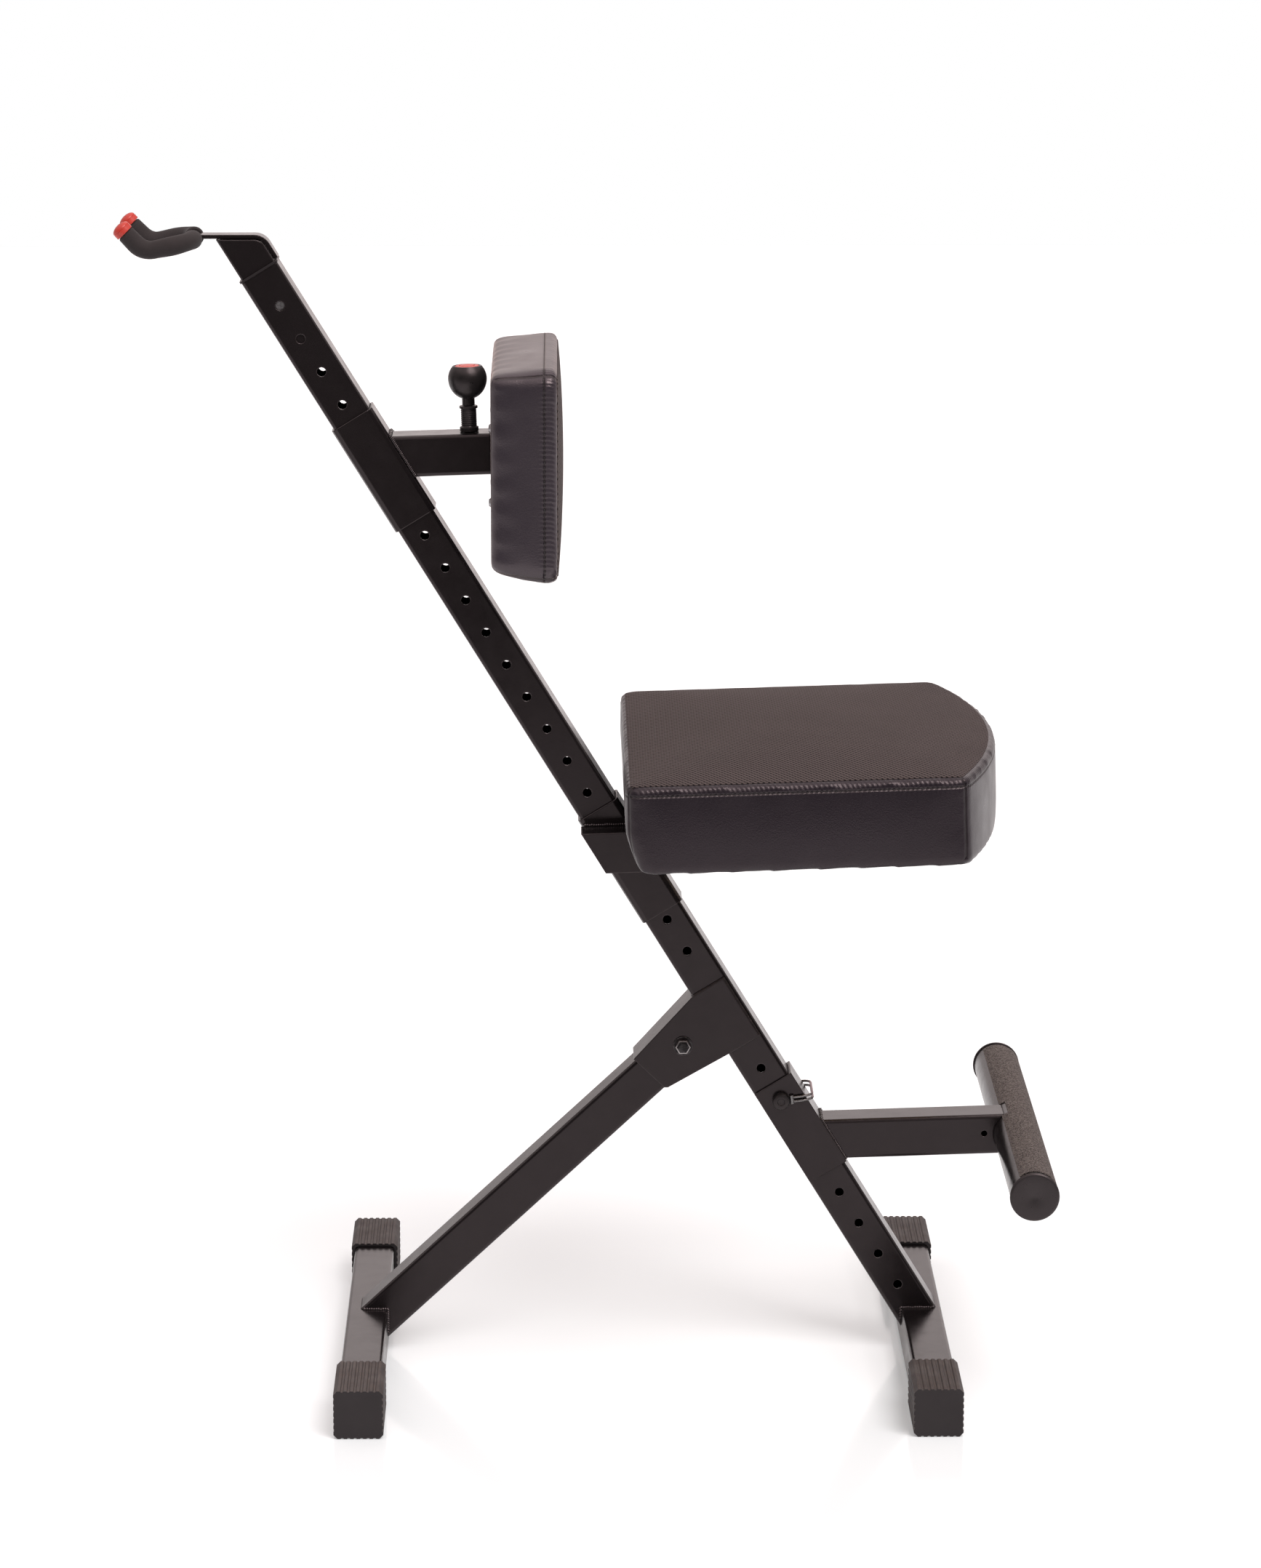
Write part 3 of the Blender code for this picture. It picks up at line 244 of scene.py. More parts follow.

# ---------------------------------------------------------------------------------------------
# Foot caps: four moulded rubber caps, ribbed along their length and pushed over the foot bars.
# The rubber is matt, with dust on its upper side, and its rib edges are painted lighter as a dull
# painted highlight.
look = Look("cap_rubber", Specular_IOR_Level=0.42)
rounded = look.rounding(0.0007)
facing_up = look.split(look.step("ShaderNodeTexCoord").outputs["Normal"])["Z"]
streaks = look.vectors("MULTIPLY", look.place, (900.0, 60.0, 200.0))["Vector"]
dusty = look.maths("MULTIPLY", look.ranged(facing_up, 0.1, 0.9),
                   look.ranged(look.noise(1.0, at=streaks), 0.35, 0.65, 0.25, 1.0))
rubber = look.tone(22.0, (0.02, 0.019, 0.02), (0.03, 0.028, 0.029))
# the rib edges are painted lighter in patches, as a painted highlight
rubber = look.blend(look.maths("MULTIPLY", look.edges(rounded), look.noise(90.0)),
                    rubber, (0.07, 0.064, 0.062))
look.feed(Base_Color=look.blend(dusty, rubber, (0.068, 0.051, 0.043)),
          Normal=look.grain(1500.0, 0.16, 0.0003, rounded, 2.0))
look.shine(40.0, 0.48, 0.62)
dressed(("front_cap_near", "front_cap_far", "rear_cap_near", "rear_cap_far"), look.made)

# ---------------------------------------------------------------------------------------------
# Welds: beads of overlapping puddles where tube meets tube, laid before the coat was sprayed,
# so they're black and glossier than the flats round them.
bead_spacing = 0.0016
bead_radius = 0.0017
foot_bead = 0.0022
bead_stand = 0.0004
tube_half = 0.019
weld_reach = tube_half * 0.97
post_lean = radians(31.57)
post_foot = Vector((0.3335, 0, 0))
post_length = 1.2027
post_axes = Matrix.Translation(post_foot) @ Matrix.Rotation(-post_lean, 4, "Y")
arm_rise = radians(1.7)


class Recipe(Net):
    # a geometry tree with named inputs, run over lines of points
    def __init__(self, name, **sockets):
        super().__init__(bpy.data.node_groups.new(name, "GeometryNodeTree"))
        add = self.tree.interface.new_socket
        add(name="Geometry", in_out="OUTPUT", socket_type="NodeSocketGeometry")
        add(name="Geometry", in_out="INPUT", socket_type="NodeSocketGeometry")
        self.keys = {key: add(name=key, in_out="INPUT", socket_type="NodeSocket" + kind).identifier
                     for key, kind in sockets.items()}
        self.given = self.step("NodeGroupInput").outputs

    def shape(self, kind, **inputs):
        # a mesh node that takes and gives geometry
        inputs = {key.replace("_", " "): value for key, value in inputs.items()}
        return self.step("GeometryNode" + kind, inputs).outputs[0]

    def run(self, name, body, slot, lines, values, closed=False, place=None):
        # the tree run over the lines, as one plain mesh that rides on a body
        mesh = bpy.data.meshes.new(name)
        points, edges = [], []
        for line in lines:
            first = len(points)
            points += [tuple(p) for p in line]
            edges += [(first + i, first + i + 1) for i in range(len(line) - 1)]
            if closed:
                edges.append((len(points) - 1, first))
        mesh.from_pydata(points, edges, [])
        holder = bpy.data.objects.new(name, mesh)
        scene.collection.objects.link(holder)
        grown = holder.modifiers.new("grown", "NODES")
        grown.node_group = self.tree
        for key, value in values.items():
            grown[self.keys[key]] = value
        piece = settled(holder, name)
        if place is not None:
            piece.data.transform(place)
        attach(piece, body)


def settled(holder, name):
    # the holder's evaluated shape as a plain mesh object
    graph = bpy.context.evaluated_depsgraph_get()
    mesh = bpy.data.meshes.new_from_object(holder.evaluated_get(graph))
    bpy.data.objects.remove(holder, do_unlink=True)
    mesh.name = name
    piece = bpy.data.objects.new(name, mesh)
    scene.collection.objects.link(piece)
    return piece


def laid_along(recipe, grain, least, most):
    # one uneven grain after another along each line
    given = recipe.given
    path = recipe.shape("MeshToCurve", Mesh=given["Geometry"])
    dots = recipe.step("GeometryNodeCurveToPoints", {"Curve": path, "Length": given["Spacing"]},
                       mode="LENGTH").outputs
    limits = {"Min": least, "Max": most, "Seed": given["Seed"]}
    uneven = recipe.step("FunctionNodeRandomValue", limits, data_type="FLOAT_VECTOR").outputs["Value"]
    laid = recipe.shape("InstanceOnPoints", Points=dots["Points"], Instance=grain,
                        Rotation=dots["Rotation"], Scale=uneven)
    whole = recipe.shape("SetShadeSmooth", Geometry=recipe.shape("RealizeInstances", Geometry=laid))
    whole = recipe.shape("SetMaterial", Geometry=whole, Material=given["Finish"])
    recipe.step("NodeGroupOutput", {"Geometry": whole})


beads = Recipe("weld_bead", Spacing="Float", Radius="Float", Seed="Int", Finish="Material")
laid_along(beads, beads.shape("MeshUVSphere", Segments=8, Rings=5, Radius=beads.given["Radius"]),
           (0.85, 0.85, 0.6), (1.15, 1.2, 0.8))

look = Look("weld_powder_coat", 0.17, Specular_IOR_Level=0.8)
look.feed(Base_Color=look.tone(300.0, coat_black, (0.018, 0.0165, 0.0165)),
          Normal=look.grain(900.0, 0.3, 0.0003))
weld_coat = look.made


def on_post(drop, out=0.0, across=0.0):
    # a point at a distance down the post from its top
    return post_axes @ Vector((out, across, post_length - drop))


def at_height(z, out=0.0, across=0.0):
    # a point of the post's side face at a given height
    along = (z - out * sin(post_lean)) / cos(post_lean)
    return post_axes @ Vector((out, across, along))


def weld(name, body, lines, seed, radius=bead_radius):
    beads.run(name, body, "frame_paint", lines,
              {"Spacing": bead_spacing * radius / bead_radius, "Radius": radius, "Seed": seed,
               "Finish": weld_coat})


def foot_lines(wall, foot, top, ends):
    # on both sides of a tube, up its foot bar's wall and along its top
    lines = []
    for side_y in (-weld_reach, weld_reach):
        lines.append([Vector((wall, side_y, z)) for z in (foot, top)])
        lines.append([Vector((x, side_y, top)) for x in ends])
    return lines


low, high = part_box("front_foot_bar")
ends = (low.x, at_height(high.z, tube_half).x - 0.003)
lines = foot_lines(low.x - bead_stand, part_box("post")[0].z + 0.009, high.z, ends)
weld("post_foot_weld", "frame", lines, 3, foot_bead)

low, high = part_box("rear_foot_bar")
leg_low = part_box("rear_leg")[0]
lines = foot_lines(high.x + bead_stand, leg_low.z + 0.006, high.z, (leg_low.x + 0.004, high.x))
weld("leg_foot_weld", "leg", lines, 5, foot_bead)

# ---------------------------------------------------------------------------------------------
# Leg hinge: a hexagon bolt through the bracket's two cheeks and the leg, with a nut on the far
# side and a plain washer under each. All four are dark zinc with a painted highlight along their
# edges, and the bolt head's outer rim is painted brighter still as a highlight.
bracket_drops = (0.7847, 0.8495)
bracket_rear, bracket_front = -0.017, 0.015
bracket_bead = 0.0013
bolt_across = 0.0075
bolt_crown = ((1.0, 0.0), (1.0, 0.7), (0.94, 0.92), (0.8, 1.0))
shank_radius = 0.004
shank_chamfer = 0.0006
rim_share = 0.7
rim_highlight_depth = 0.0005


def zinc_plate(name, colour, bright, roughness):
    look = Look(name, metallic=1.0)
    rounded = look.rounding(0.0004)
    tone = look.blend(look.ranged(look.noise(220.0, 4.0), 0.4, 1.0, 0.0, 0.5), colour, bright)
    # the edges are blended to the bright colour as a painted highlight
    look.feed(Base_Color=look.blend(look.edges(rounded, 0.97, 0.8), tone, bright),
              Normal=look.grain(1400.0, 0.08, 0.0002, rounded))
    look.shine(500.0, roughness, roughness + 0.16)
    return look.made


def ring(mesh, place, radius, height, sides):
    # new points round the local Z axis, or one point on it
    turns = [2 * pi * i / sides for i in range(sides if radius else 1)]
    return [mesh.verts.new(place @ Vector((radius * cos(a), radius * sin(a), height)))
            for a in turns]


def banded(mesh, rows):
    # faces between neighbouring rows; a row of one point closes its neighbour
    for low_row, high_row in zip(rows, rows[1:]):
        for i in range(max(len(low_row), len(high_row))):
            a, b = low_row[i % len(low_row)], low_row[(i + 1) % len(low_row)]
            c, d = high_row[(i + 1) % len(high_row)], high_row[i % len(high_row)]
            mesh.faces.new(list(dict.fromkeys((a, b, c, d))))


def made_piece(name, mesh, sharp_deg=32.0):
    bmesh.ops.recalc_face_normals(mesh, faces=mesh.faces)
    data = bpy.data.meshes.new(name)
    mesh.to_mesh(data)
    mesh.free()
    data.shade_smooth()
    data.set_sharp_from_angle(angle=radians(sharp_deg))
    piece = bpy.data.objects.new(name, data)
    scene.collection.objects.link(piece)
    return piece


def lathed(name, profile, place, sides=64):
    # radius and height pairs from the axis round to the axis; local Z is the turning axis
    mesh = bmesh.new()
    banded(mesh, [ring(mesh, place, radius, height, sides) for radius, height in profile])
    return made_piece(name, mesh)


def fitted(piece, body, slot, material, *replaced):
    piece.data.materials.clear()
    piece.data.materials.append(material)
    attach(piece, body)
    if replaced:
        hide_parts(*replaced)
    return piece


dark_zinc = zinc_plate("dark_zinc", (0.03, 0.027, 0.028), (0.3, 0.28, 0.28), 0.3)
dressed(("pivot_nut", "pivot_washer_near", "pivot_washer_far"), dark_zinc)
low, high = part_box("pivot_bolt")
middle = (low + high) / 2
head_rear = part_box("pivot_washer_near")[0].y - 0.0003
bolt_axes = Matrix(((1, 0, 0, middle.x), (0, 0, 1, 0), (0, 1, 0, middle.z), (0, 0, 0, 1)))
mesh = bmesh.new()
head = [ring(mesh, bolt_axes, bolt_across * share, head_rear + (low.y - head_rear) * up, 6)
        for share, up in bolt_crown]
shank = [ring(mesh, bolt_axes, radius, y, 24)
         for radius, y in ((shank_radius, head_rear), (shank_radius, high.y - shank_chamfer),
                           (shank_radius - shank_chamfer, high.y))]
for rings in (head, shank):
    banded(mesh, rings)
    mesh.faces.new(rings[-1])
rims = [mesh.edges.get((rim[i], rim[(i + 1) % len(rim)]))
        for rim in (head[0], shank[0]) for i in range(len(rim))]
bmesh.ops.bridge_loops(mesh, edges=rims)
bolt = fitted(made_piece("hinge_bolt", mesh), "frame", "zinc_steel", dark_zinc, "pivot_bolt")
# the bolt head's outer rim gets a paler zinc: a painted highlight
bolt.data.materials.append(zinc_plate("spanner_zinc", (0.36, 0.33, 0.33),
                                      (0.8, 0.76, 0.76), 0.24))
for face in bolt.data.polygons:
    off_axis = hypot(face.center.x - middle.x, face.center.z - middle.z)
    face.material_index = int(face.center.y < head_rear - rim_highlight_depth
                              and off_axis > bolt_across * rim_share)

lines = []
for side in (-1, 1):
    for drop in bracket_drops:
        lines.append([on_post(drop, out, side * (tube_half + 0.0006))
                      for out in (bracket_rear, bracket_front)])
    lines.append([on_post(drop, bracket_front + bead_stand, side * (tube_half + bead_stand))
                  for drop in bracket_drops])
weld("bracket_weld", "frame", lines, 7, bracket_bead)

# ---------------------------------------------------------------------------------------------
# Hanger: a bent steel rod, forked, in two foam sleeves that grip a guitar's neck. The foam is
# closed-cell rubber, squeezed a little at the bends; each end has a bright moulded tip. The rod
# is welded to the end of the strap, and the snap button is zinc.
rod_radius = 0.004
foam_radius = 0.0085
foam_start = 0.011
foam_end_round = 0.0014
foam_squeeze = 0.00025
yoke_half_gap = 0.037
yoke_bends = (0, 0.0255, 0.018, 0)
yoke_spacing = 0.0012
strap_low, strap_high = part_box("hanger_strap")
yoke_base = Vector((strap_low.x - rod_radius - 0.0003, 0, strap_high.z - 0.0038))
yoke_low = yoke_base + Vector((-0.0432, 0, -0.0083))
yoke_end = yoke_low + Vector((-0.016, 0, 0.0167))
tip_radius = 0.0087
tip_groove = tip_radius - 0.00035
tip_length = 0.01


def filleted(corners, radii, steps):
    # rounds each inner corner of a path to its radius
    points = []
    for i, corner in enumerate(corners):
        if radii[i] == 0:
            points.append(corner)
            continue
        before = (corners[i - 1] - corner).normalized()
        after = (corners[(i + 1) % len(corners)] - corner).normalized()
        bend = before.angle(after)
        centre = corner + (before + after).normalized() * (radii[i] / sin(bend / 2))
        first = corner + before * (radii[i] / tan(bend / 2)) - centre
        for count in range(steps + 1):
            turn = Matrix.Rotation(-(pi - bend) * count / steps, 3, before.cross(after))
            points.append(centre + turn @ first)
    return points


def evenly(path, spacing):
    # the same path with its points evenly spaced
    gaps = [(b - a).length for a, b in zip(path, path[1:])]
    along = np.concatenate(([0], np.cumsum(gaps)))
    wanted = np.linspace(0, sum(gaps), max(2, round(sum(gaps) / spacing)) + 1)
    table = np.array([tuple(p) for p in path])
    return [Vector(row) for row in
            np.stack([np.interp(wanted, along, table[:, k]) for k in range(3)], 1)]


def swept(name, path, radius_at, sides):
    # a round bar along a path; radius_at gives its radius for each share of the length
    mesh = bmesh.new()
    rings = []
    side = Vector((0, 0, 1))
    for i, point in enumerate(path):
        along = (path[min(i + 1, len(path) - 1)] - path[max(i - 1, 0)]).normalized()
        side = (side - along * side.dot(along)).normalized()
        axes = Matrix((side, along.cross(side), along)).transposed().to_4x4()
        place = Matrix.Translation(point) @ axes
        rings.append(ring(mesh, place, radius_at(i / (len(path) - 1)), 0.0, sides))
    banded(mesh, rings)
    for end in (rings[0], rings[-1]):
        mesh.faces.new(end)
    return made_piece(name, mesh, 40.0)


def yoke_path(side, start):
    out = Vector((0, side * yoke_half_gap, 0))
    corners = [yoke_base + Vector((0, side * start, 0)), yoke_base + out, yoke_low + out,
               yoke_end + out]
    return evenly(filleted(corners, yoke_bends, 16), yoke_spacing)


def foam_girth(share):
    # rounded at both ends, a little slack at the two bends
    inner = 1.0 - min(1.0, share / 0.03, (1 - share) / 0.02)
    squeeze = foam_squeeze * cos(share * 2 * pi * 2.5)
    return foam_radius - foam_end_round * (1 - sqrt(max(0.0, 1 - inner ** 2))) + squeeze


look = Look("yoke_foam", 0.78, Specular_IOR_Level=0.3, Sheen_Weight=0.12, Sheen_Roughness=0.5)
cells = look.step("ShaderNodeTexVoronoi", {"Vector": look.place, "Scale": 1400.0}).outputs
pitted = look.bump(cells["Distance"], 0.3, 0.0003)
look.feed(Base_Color=look.tone(45.0, (0.026, 0.022, 0.022), (0.046, 0.039, 0.04)),
          Normal=look.grain(120.0, 0.25, 0.0008, pitted))
foam_skin = look.made

look = Look("signal_red_plastic", Specular_IOR_Level=0.5, Subsurface_Weight=0.08,
            Subsurface_Radius=(0.004, 0.001, 0.001))
look.feed(Base_Color=look.tone(90.0, (0.62, 0.045, 0.032), (0.74, 0.085, 0.06)),
          Normal=look.grain(700.0, 0.08, 0.0003))
look.shine(260.0, 0.28, 0.42)
signal_red = look.made

rod_coat = powder_coat("rod_powder_coat", 0.0008)
whole_rod = yoke_path(-1, 0)[::-1] + yoke_path(1, 0)[1:]
fitted(swept("forked_rod", whole_rod, lambda share: rod_radius, 24), "hanger", "frame_paint",
       rod_coat, "yoke_rod")
tip_line = (whole_rod[-1] - whole_rod[-2]).normalized()
tip_turn = Matrix.Rotation(atan2(tip_line.x, tip_line.z), 4, "Y")
tip_profile = [(0, 0.0003), (tip_radius - 0.0004, 0.0003), (tip_radius, 0.0008),
               (tip_radius, tip_length * 0.46), (tip_groove, tip_length * 0.48),
               (tip_groove, tip_length * 0.52), (tip_radius, tip_length * 0.54)]
for angle in range(8, 90, 9):
    tip_profile.append((tip_radius * cos(radians(angle)),
                        tip_length * (0.54 + 0.46 * sin(radians(angle)))))
tip_profile.append((0, tip_length))
for name, side in (("near", -1), ("far", 1)):
    foam = swept("foam_sleeve_" + name, yoke_path(side, foam_start), foam_girth, 48)
    fitted(foam, "hanger", "yoke_foam", foam_skin, "yoke_foam_" + name)
    place = Matrix.Translation(yoke_end + Vector((0, side * yoke_half_gap, 0))) @ tip_turn
    fitted(lathed("red_tip_" + name, tip_profile, place), "hanger", "red_plastic", signal_red,
           "yoke_tip_" + name)

strap_lines = [[Vector((strap_low.x + 0.0002, y, strap_high.z - 0.004)) for y in (-0.009, 0.009)]]
weld("strap_end_weld", "hanger", strap_lines, 11, 0.0012)
button_zinc = zinc_plate("bright_zinc", (0.34, 0.33, 0.34), (0.6, 0.59, 0.6), 0.22)
dressed(("snap_button",), button_zinc)

# ---------------------------------------------------------------------------------------------
# Post bushing: a moulded nylon collar pressed into the post's top, where the hanger slides. It
# is satin, with a paler colour painted along its edges as a highlight.
look = Look("moulded_nylon", Specular_IOR_Level=0.45)
rounded = look.rounding(0.0006, 4)
# paler along the edges: a painted highlight
look.feed(Base_Color=look.blend(look.edges(rounded), (0.027, 0.024, 0.025), (0.058, 0.053, 0.053)),
          Normal=look.grain(1600.0, 0.12, 0.0002, rounded, 2.0))
look.shine(130.0, 0.26, 0.36)
moulded_nylon = look.made
dressed(("post_bushing",), moulded_nylon)

# ---------------------------------------------------------------------------------------------
# Pull knobs: a threaded nylon barrel stands on the tube, and a pin on a spring runs down through
# it. The knob is a smooth ball, cut flat on top, with a red disc snapped into its recess.
knob_radius = 0.0178
knob_height = 0.0295
knob_top_radius = 0.0138
knob_foot_radius = 0.007
knob_wide = knob_height * 0.6
insert_radius = 0.011
insert_profile = [(0, -0.0012), (insert_radius, -0.0012), (insert_radius, -0.0003),
                  (insert_radius - 0.0004, 0.0001), (0.0074, 0.0003), (0.0072, -0.0001),
                  (0.0066, -0.0001), (0.0064, 0.0004), (0, 0.0007)]
recess_radius = insert_radius + 0.0003
recess_depth = 0.0016
barrel_bore = 0.0042
barrel_rings = 9
thread_crest, thread_root = 0.0073, 0.0068
thread_top, thread_foot = 0.0026, 0.0046

look = Look("knob_plastic", Specular_IOR_Level=0.5)
look.feed(Base_Color=look.tone(60.0, (0.0125, 0.0115, 0.0118),
                                (0.02, 0.0185, 0.0185)),
          Normal=look.grain(900.0, 0.06, 0.0002))
look.shine(180.0, 0.26, 0.4, 4.0)
knob_gloss = look.made

upper = acos(knob_top_radius / knob_radius)
lower = acos(knob_foot_radius / knob_radius)
knob_profile = [(0, 0)]
for count in range(15):
    angle = lower * (1 - count / 14)
    knob_profile.append((knob_radius * cos(angle),
                         knob_wide - knob_wide * sin(angle) / sin(lower)))
for count in range(1, 11):
    angle = upper * count / 10
    knob_profile.append((knob_radius * cos(angle), knob_wide
                         + (knob_height - knob_wide - 0.0008) * sin(angle) / sin(upper)))
knob_profile += [(knob_top_radius - 0.0006, knob_height), (insert_radius + 0.0007, knob_height),
                 (recess_radius, knob_height - 0.0005), (recess_radius, knob_height - recess_depth),
                 (0, knob_height - recess_depth)]


def barrel_profile(tall):
    profile = [(barrel_bore, tall), (0.0079, tall), (0.0084, tall - 0.0005),
               (0.0084, tall - 0.0022), (0.0074, tall - thread_top)]
    pitch = (tall - thread_top - thread_foot) / barrel_rings
    for count in range(barrel_rings):
        top = tall - thread_top - 0.0002 - count * pitch
        profile += [(thread_crest, top), (thread_root, top - pitch * 0.45),
                    (thread_crest, top - pitch * 0.9)]
    return profile + [(0.0086, 0.004), (0.0086, 0.0004), (0.0082, 0.0), (barrel_bore, 0.0),
                      (barrel_bore, tall)]


def knob_set(name, body, axis):
    # the ball, disc and barrel take their places from the CAD's own, along the knob's axis
    turn = Vector((0, 0, 1)).rotation_difference(axis).to_matrix().to_4x4()
    ball, barrel = [np.array([v.co for v in nodes[name + part].data.vertices]) @ np.array(axis)
                    for part in ("_ball", "_barrel")]
    low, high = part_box(name + "_ball")
    centre = (low + high) / 2
    foot, stand = [Matrix.Translation(centre + axis * (start - centre.dot(axis))) @ turn
                   for start in (ball.min(), barrel.min())]
    fitted(lathed(name + "_grip", knob_profile, foot), name, "knob_plastic", knob_gloss,
           name + "_ball")
    disc = foot @ Matrix.Translation((0, 0, knob_height))
    fitted(lathed(name + "_disc", insert_profile, disc), name, "red_plastic", signal_red,
           name + "_insert")
    profile = barrel_profile(barrel.max() - barrel.min())
    fitted(lathed(name + "_thread", profile, stand), body, "black_plastic", moulded_nylon,
           name + "_barrel")
    dressed((name + "_pin",), knob_gloss)


knob_set("arm_knob", "backrest_carriage", Vector((-sin(arm_rise), 0, cos(arm_rise))))
knob_set("backrest_lock", "backrest_carriage", Vector((0, 1, 0)))
knob_set("seat_lock", "seat_carriage", Vector((0, 1, 0)))

# ---------------------------------------------------------------------------------------------
# Backrest arm: square tube welded to the front of its sleeve, with fillet welds up both sides
# and across the top.
arm_lift = 0.0006
backrest_sleeve_out = tube_half + 0.0004 + 0.002


def arm_root_lines(node, out):
    # the meeting line of an arm with the leaning face it stands on
    low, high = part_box(node)
    bottom = low.z + arm_lift
    top = high.z - (high.x - low.x) * tan(arm_rise) + arm_lift
    lines = [[at_height(z, out + 0.0006, side * (tube_half + 0.0002)) for z in (bottom, top)]
             for side in (-1, 1)]
    return lines + [[at_height(top, out + bead_stand, side * tube_half * 0.96) for side in (-1, 1)]]


weld("arm_root_weld", "backrest_carriage", arm_root_lines("backrest_arm", backrest_sleeve_out), 13)

# ---------------------------------------------------------------------------------------------
# Backrest pad: a moulded foam block on a plywood board, in a sewn cover of soft grained vinyl
# with a spacer-mesh face. A topstitched seam runs round it just behind the mesh.
pad_width = 0.275
pad_height = 0.191
pad_band = 0.06
pad_flare = 0.002
pad_corner = 0.016
pad_crown = 0.004
pad_seam = pad_band - 0.0115
pad_tacked = 0.004
pad_voxel = 0.0045
pad_rooms = (0.0055, 0.0016)
back_reach = 0.034
back_wave = 0.0005
foot_pull, foot_reach = 0.0045, 0.08
face_edge = 0.004
outline_spacing = 0.004
crown_power = 2.6
cover_frames = 20
sewn_reach = 0.004
sewn_band = 0.012
topstitch_grip = 1.6
face_start = 0.002
cloth_settings = {"quality": 6, "mass": 0.2, "tension_stiffness": 25.0, "use_pressure": True,
                  "compression_stiffness": 25.0, "shear_stiffness": 8.0, "bending_stiffness": 2.0,
                  "uniform_pressure_force": 4.0, "vertex_group_mass": "sewn"}
askew = Matrix.Rotation(0.37, 4, Vector((1.0, 0.6, 0.3)).normalized())
sheet_above, sheet_below = 0.0007, 0.0006
cell_across, cell_along = 0.0034, 0.0024
seam_painted_shade = (0.006, 0.0045, 0.006)
pucker_pitch = 0.0043
stitch_length = 0.003
stitch_gap = 0.0013
stitch_radius = 0.00028
stitch_lift = 0.0001


def closed_line(corners, radii):
    # a rounded closed outline with even points
    points = []
    for i, corner in enumerate(corners):
        bend = [corners[i - 1], corner, corners[(i + 1) % len(corners)]]
        points += filleted(bend, [0, radii[i], 0], 10)[1:-1]
    return evenly(points + [points[0]], outline_spacing)[:-1]


def inset_line(line, inset):
    # each point moved inwards, square to the outline
    moved = []
    for i, point in enumerate(line):
        along = (line[(i + 1) % len(line)] - line[i - 1]).normalized()
        moved.append(point + Vector((-along.y, along.x, 0)) * inset)
    return moved


def drawn_in(line, share):
    # each point moved part of the way to the outline's middle
    table = np.array([tuple(p) for p in line])
    middle = (table.min(0) + table.max(0)) / 2
    return [Vector(row) for row in table + (middle - table) * share]


def crowned(line, shares, base, crown):
    # rings that climb towards the middle of a pad's face
    return [(drawn_in(line, share), base + crown * (1 - (1 - share) ** crown_power))
            for share in shares]


def fan(mesh, row):
    # closes a row with one point at its middle
    centre = mesh.verts.new(sum((v.co for v in row), Vector()) / len(row))
    banded(mesh, [row, [centre]])


def skinned(name, rings, place, drawn):
    # a closed skin over rings of equal count, with a fan at each end; drawn moves a point
    mesh = bmesh.new()
    rows = [[mesh.verts.new(place @ drawn(p.x, p.y, height)) for p in line]
            for line, height in rings]
    banded(mesh, rows)
    fan(mesh, rows[0])
    fan(mesh, rows[-1])
    return made_piece(name, mesh)


def evened(piece, voxel):
    # the same form in small even faces, remeshed askew so that its edges don't show steps
    name = piece.name
    piece.name = name + "_rough"
    piece.data.transform(askew)
    pattern = surface_of(piece)
    even = piece.modifiers.new("even", "REMESH")
    even.mode = "VOXEL"
    even.voxel_size = voxel
    piece = settled(piece, name)
    for _ in range(2):
        mesh = bmesh.new()
        mesh.from_mesh(piece.data)
        for _ in range(3):
            bmesh.ops.smooth_vert(mesh, verts=mesh.verts, factor=0.5, use_axis_x=True,
                                  use_axis_y=True, use_axis_z=True)
        for vert in mesh.verts:
            vert.co = pattern.find_nearest(vert.co)[0]
        mesh.to_mesh(piece.data)
        mesh.free()
    piece.data.transform(askew.inverted())
    return piece


def sewn_share(z, fold, seam, slack=1.0):
    # how firmly the stitches at the face's edge and at the topstitch hold a point
    near = min(abs(z - fold + 0.001), abs(z - seam) * topstitch_grip, slack)
    return float(max(0.0, 1.0 - near / sewn_reach))


def stuffed(piece, place, voxel, held, fold, rooms):
    # the cover is blown out by its filling; held pins it at seams and board, and rooms caps the
    # swelling of its face, which is above the fold, and of its sides
    piece = evened(piece, voxel)
    rest = np.array([v.co for v in piece.data.vertices])
    local = np.array([place.inverted() @ v.co for v in piece.data.vertices])
    group = piece.vertex_groups.new(name="sewn")
    for i, point in enumerate(local):
        group.add([i], held(*point), "REPLACE")
    filling = piece.modifiers.new("filling", "CLOTH")
    for key, value in cloth_settings.items():
        setattr(filling.settings, key, value)
    filling.settings.effector_weights.gravity = 0.0
    filling.collision_settings.use_collision = False
    filling.point_cache.frame_start = 1
    filling.point_cache.frame_end = cover_frames
    for count in range(1, cover_frames + 1):
        scene.frame_set(count)
    full = piece.evaluated_get(bpy.context.evaluated_depsgraph_get())
    moved = np.array([v.co for v in full.data.vertices]) - rest
    far = np.linalg.norm(moved, axis=1)
    most = np.where(local[:, 2] > fold - face_start, *rooms)
    share = np.minimum(1.0, most / np.maximum(far, 1e-9))
    piece.modifiers.clear()
    piece.vertex_groups.clear()
    piece.data.vertices.foreach_set("co", (rest + moved * share[:, None]).ravel())
    scene.frame_set(1)
    smoother = piece.modifiers.new("smoother", "SUBSURF")
    smoother.levels = 1
    smoother.render_levels = 1
    piece = settled(piece, piece.name)
    piece.data.shade_smooth()
    return piece


def surface_of(piece):
    return BVHTree.FromObject(piece, bpy.context.evaluated_depsgraph_get())


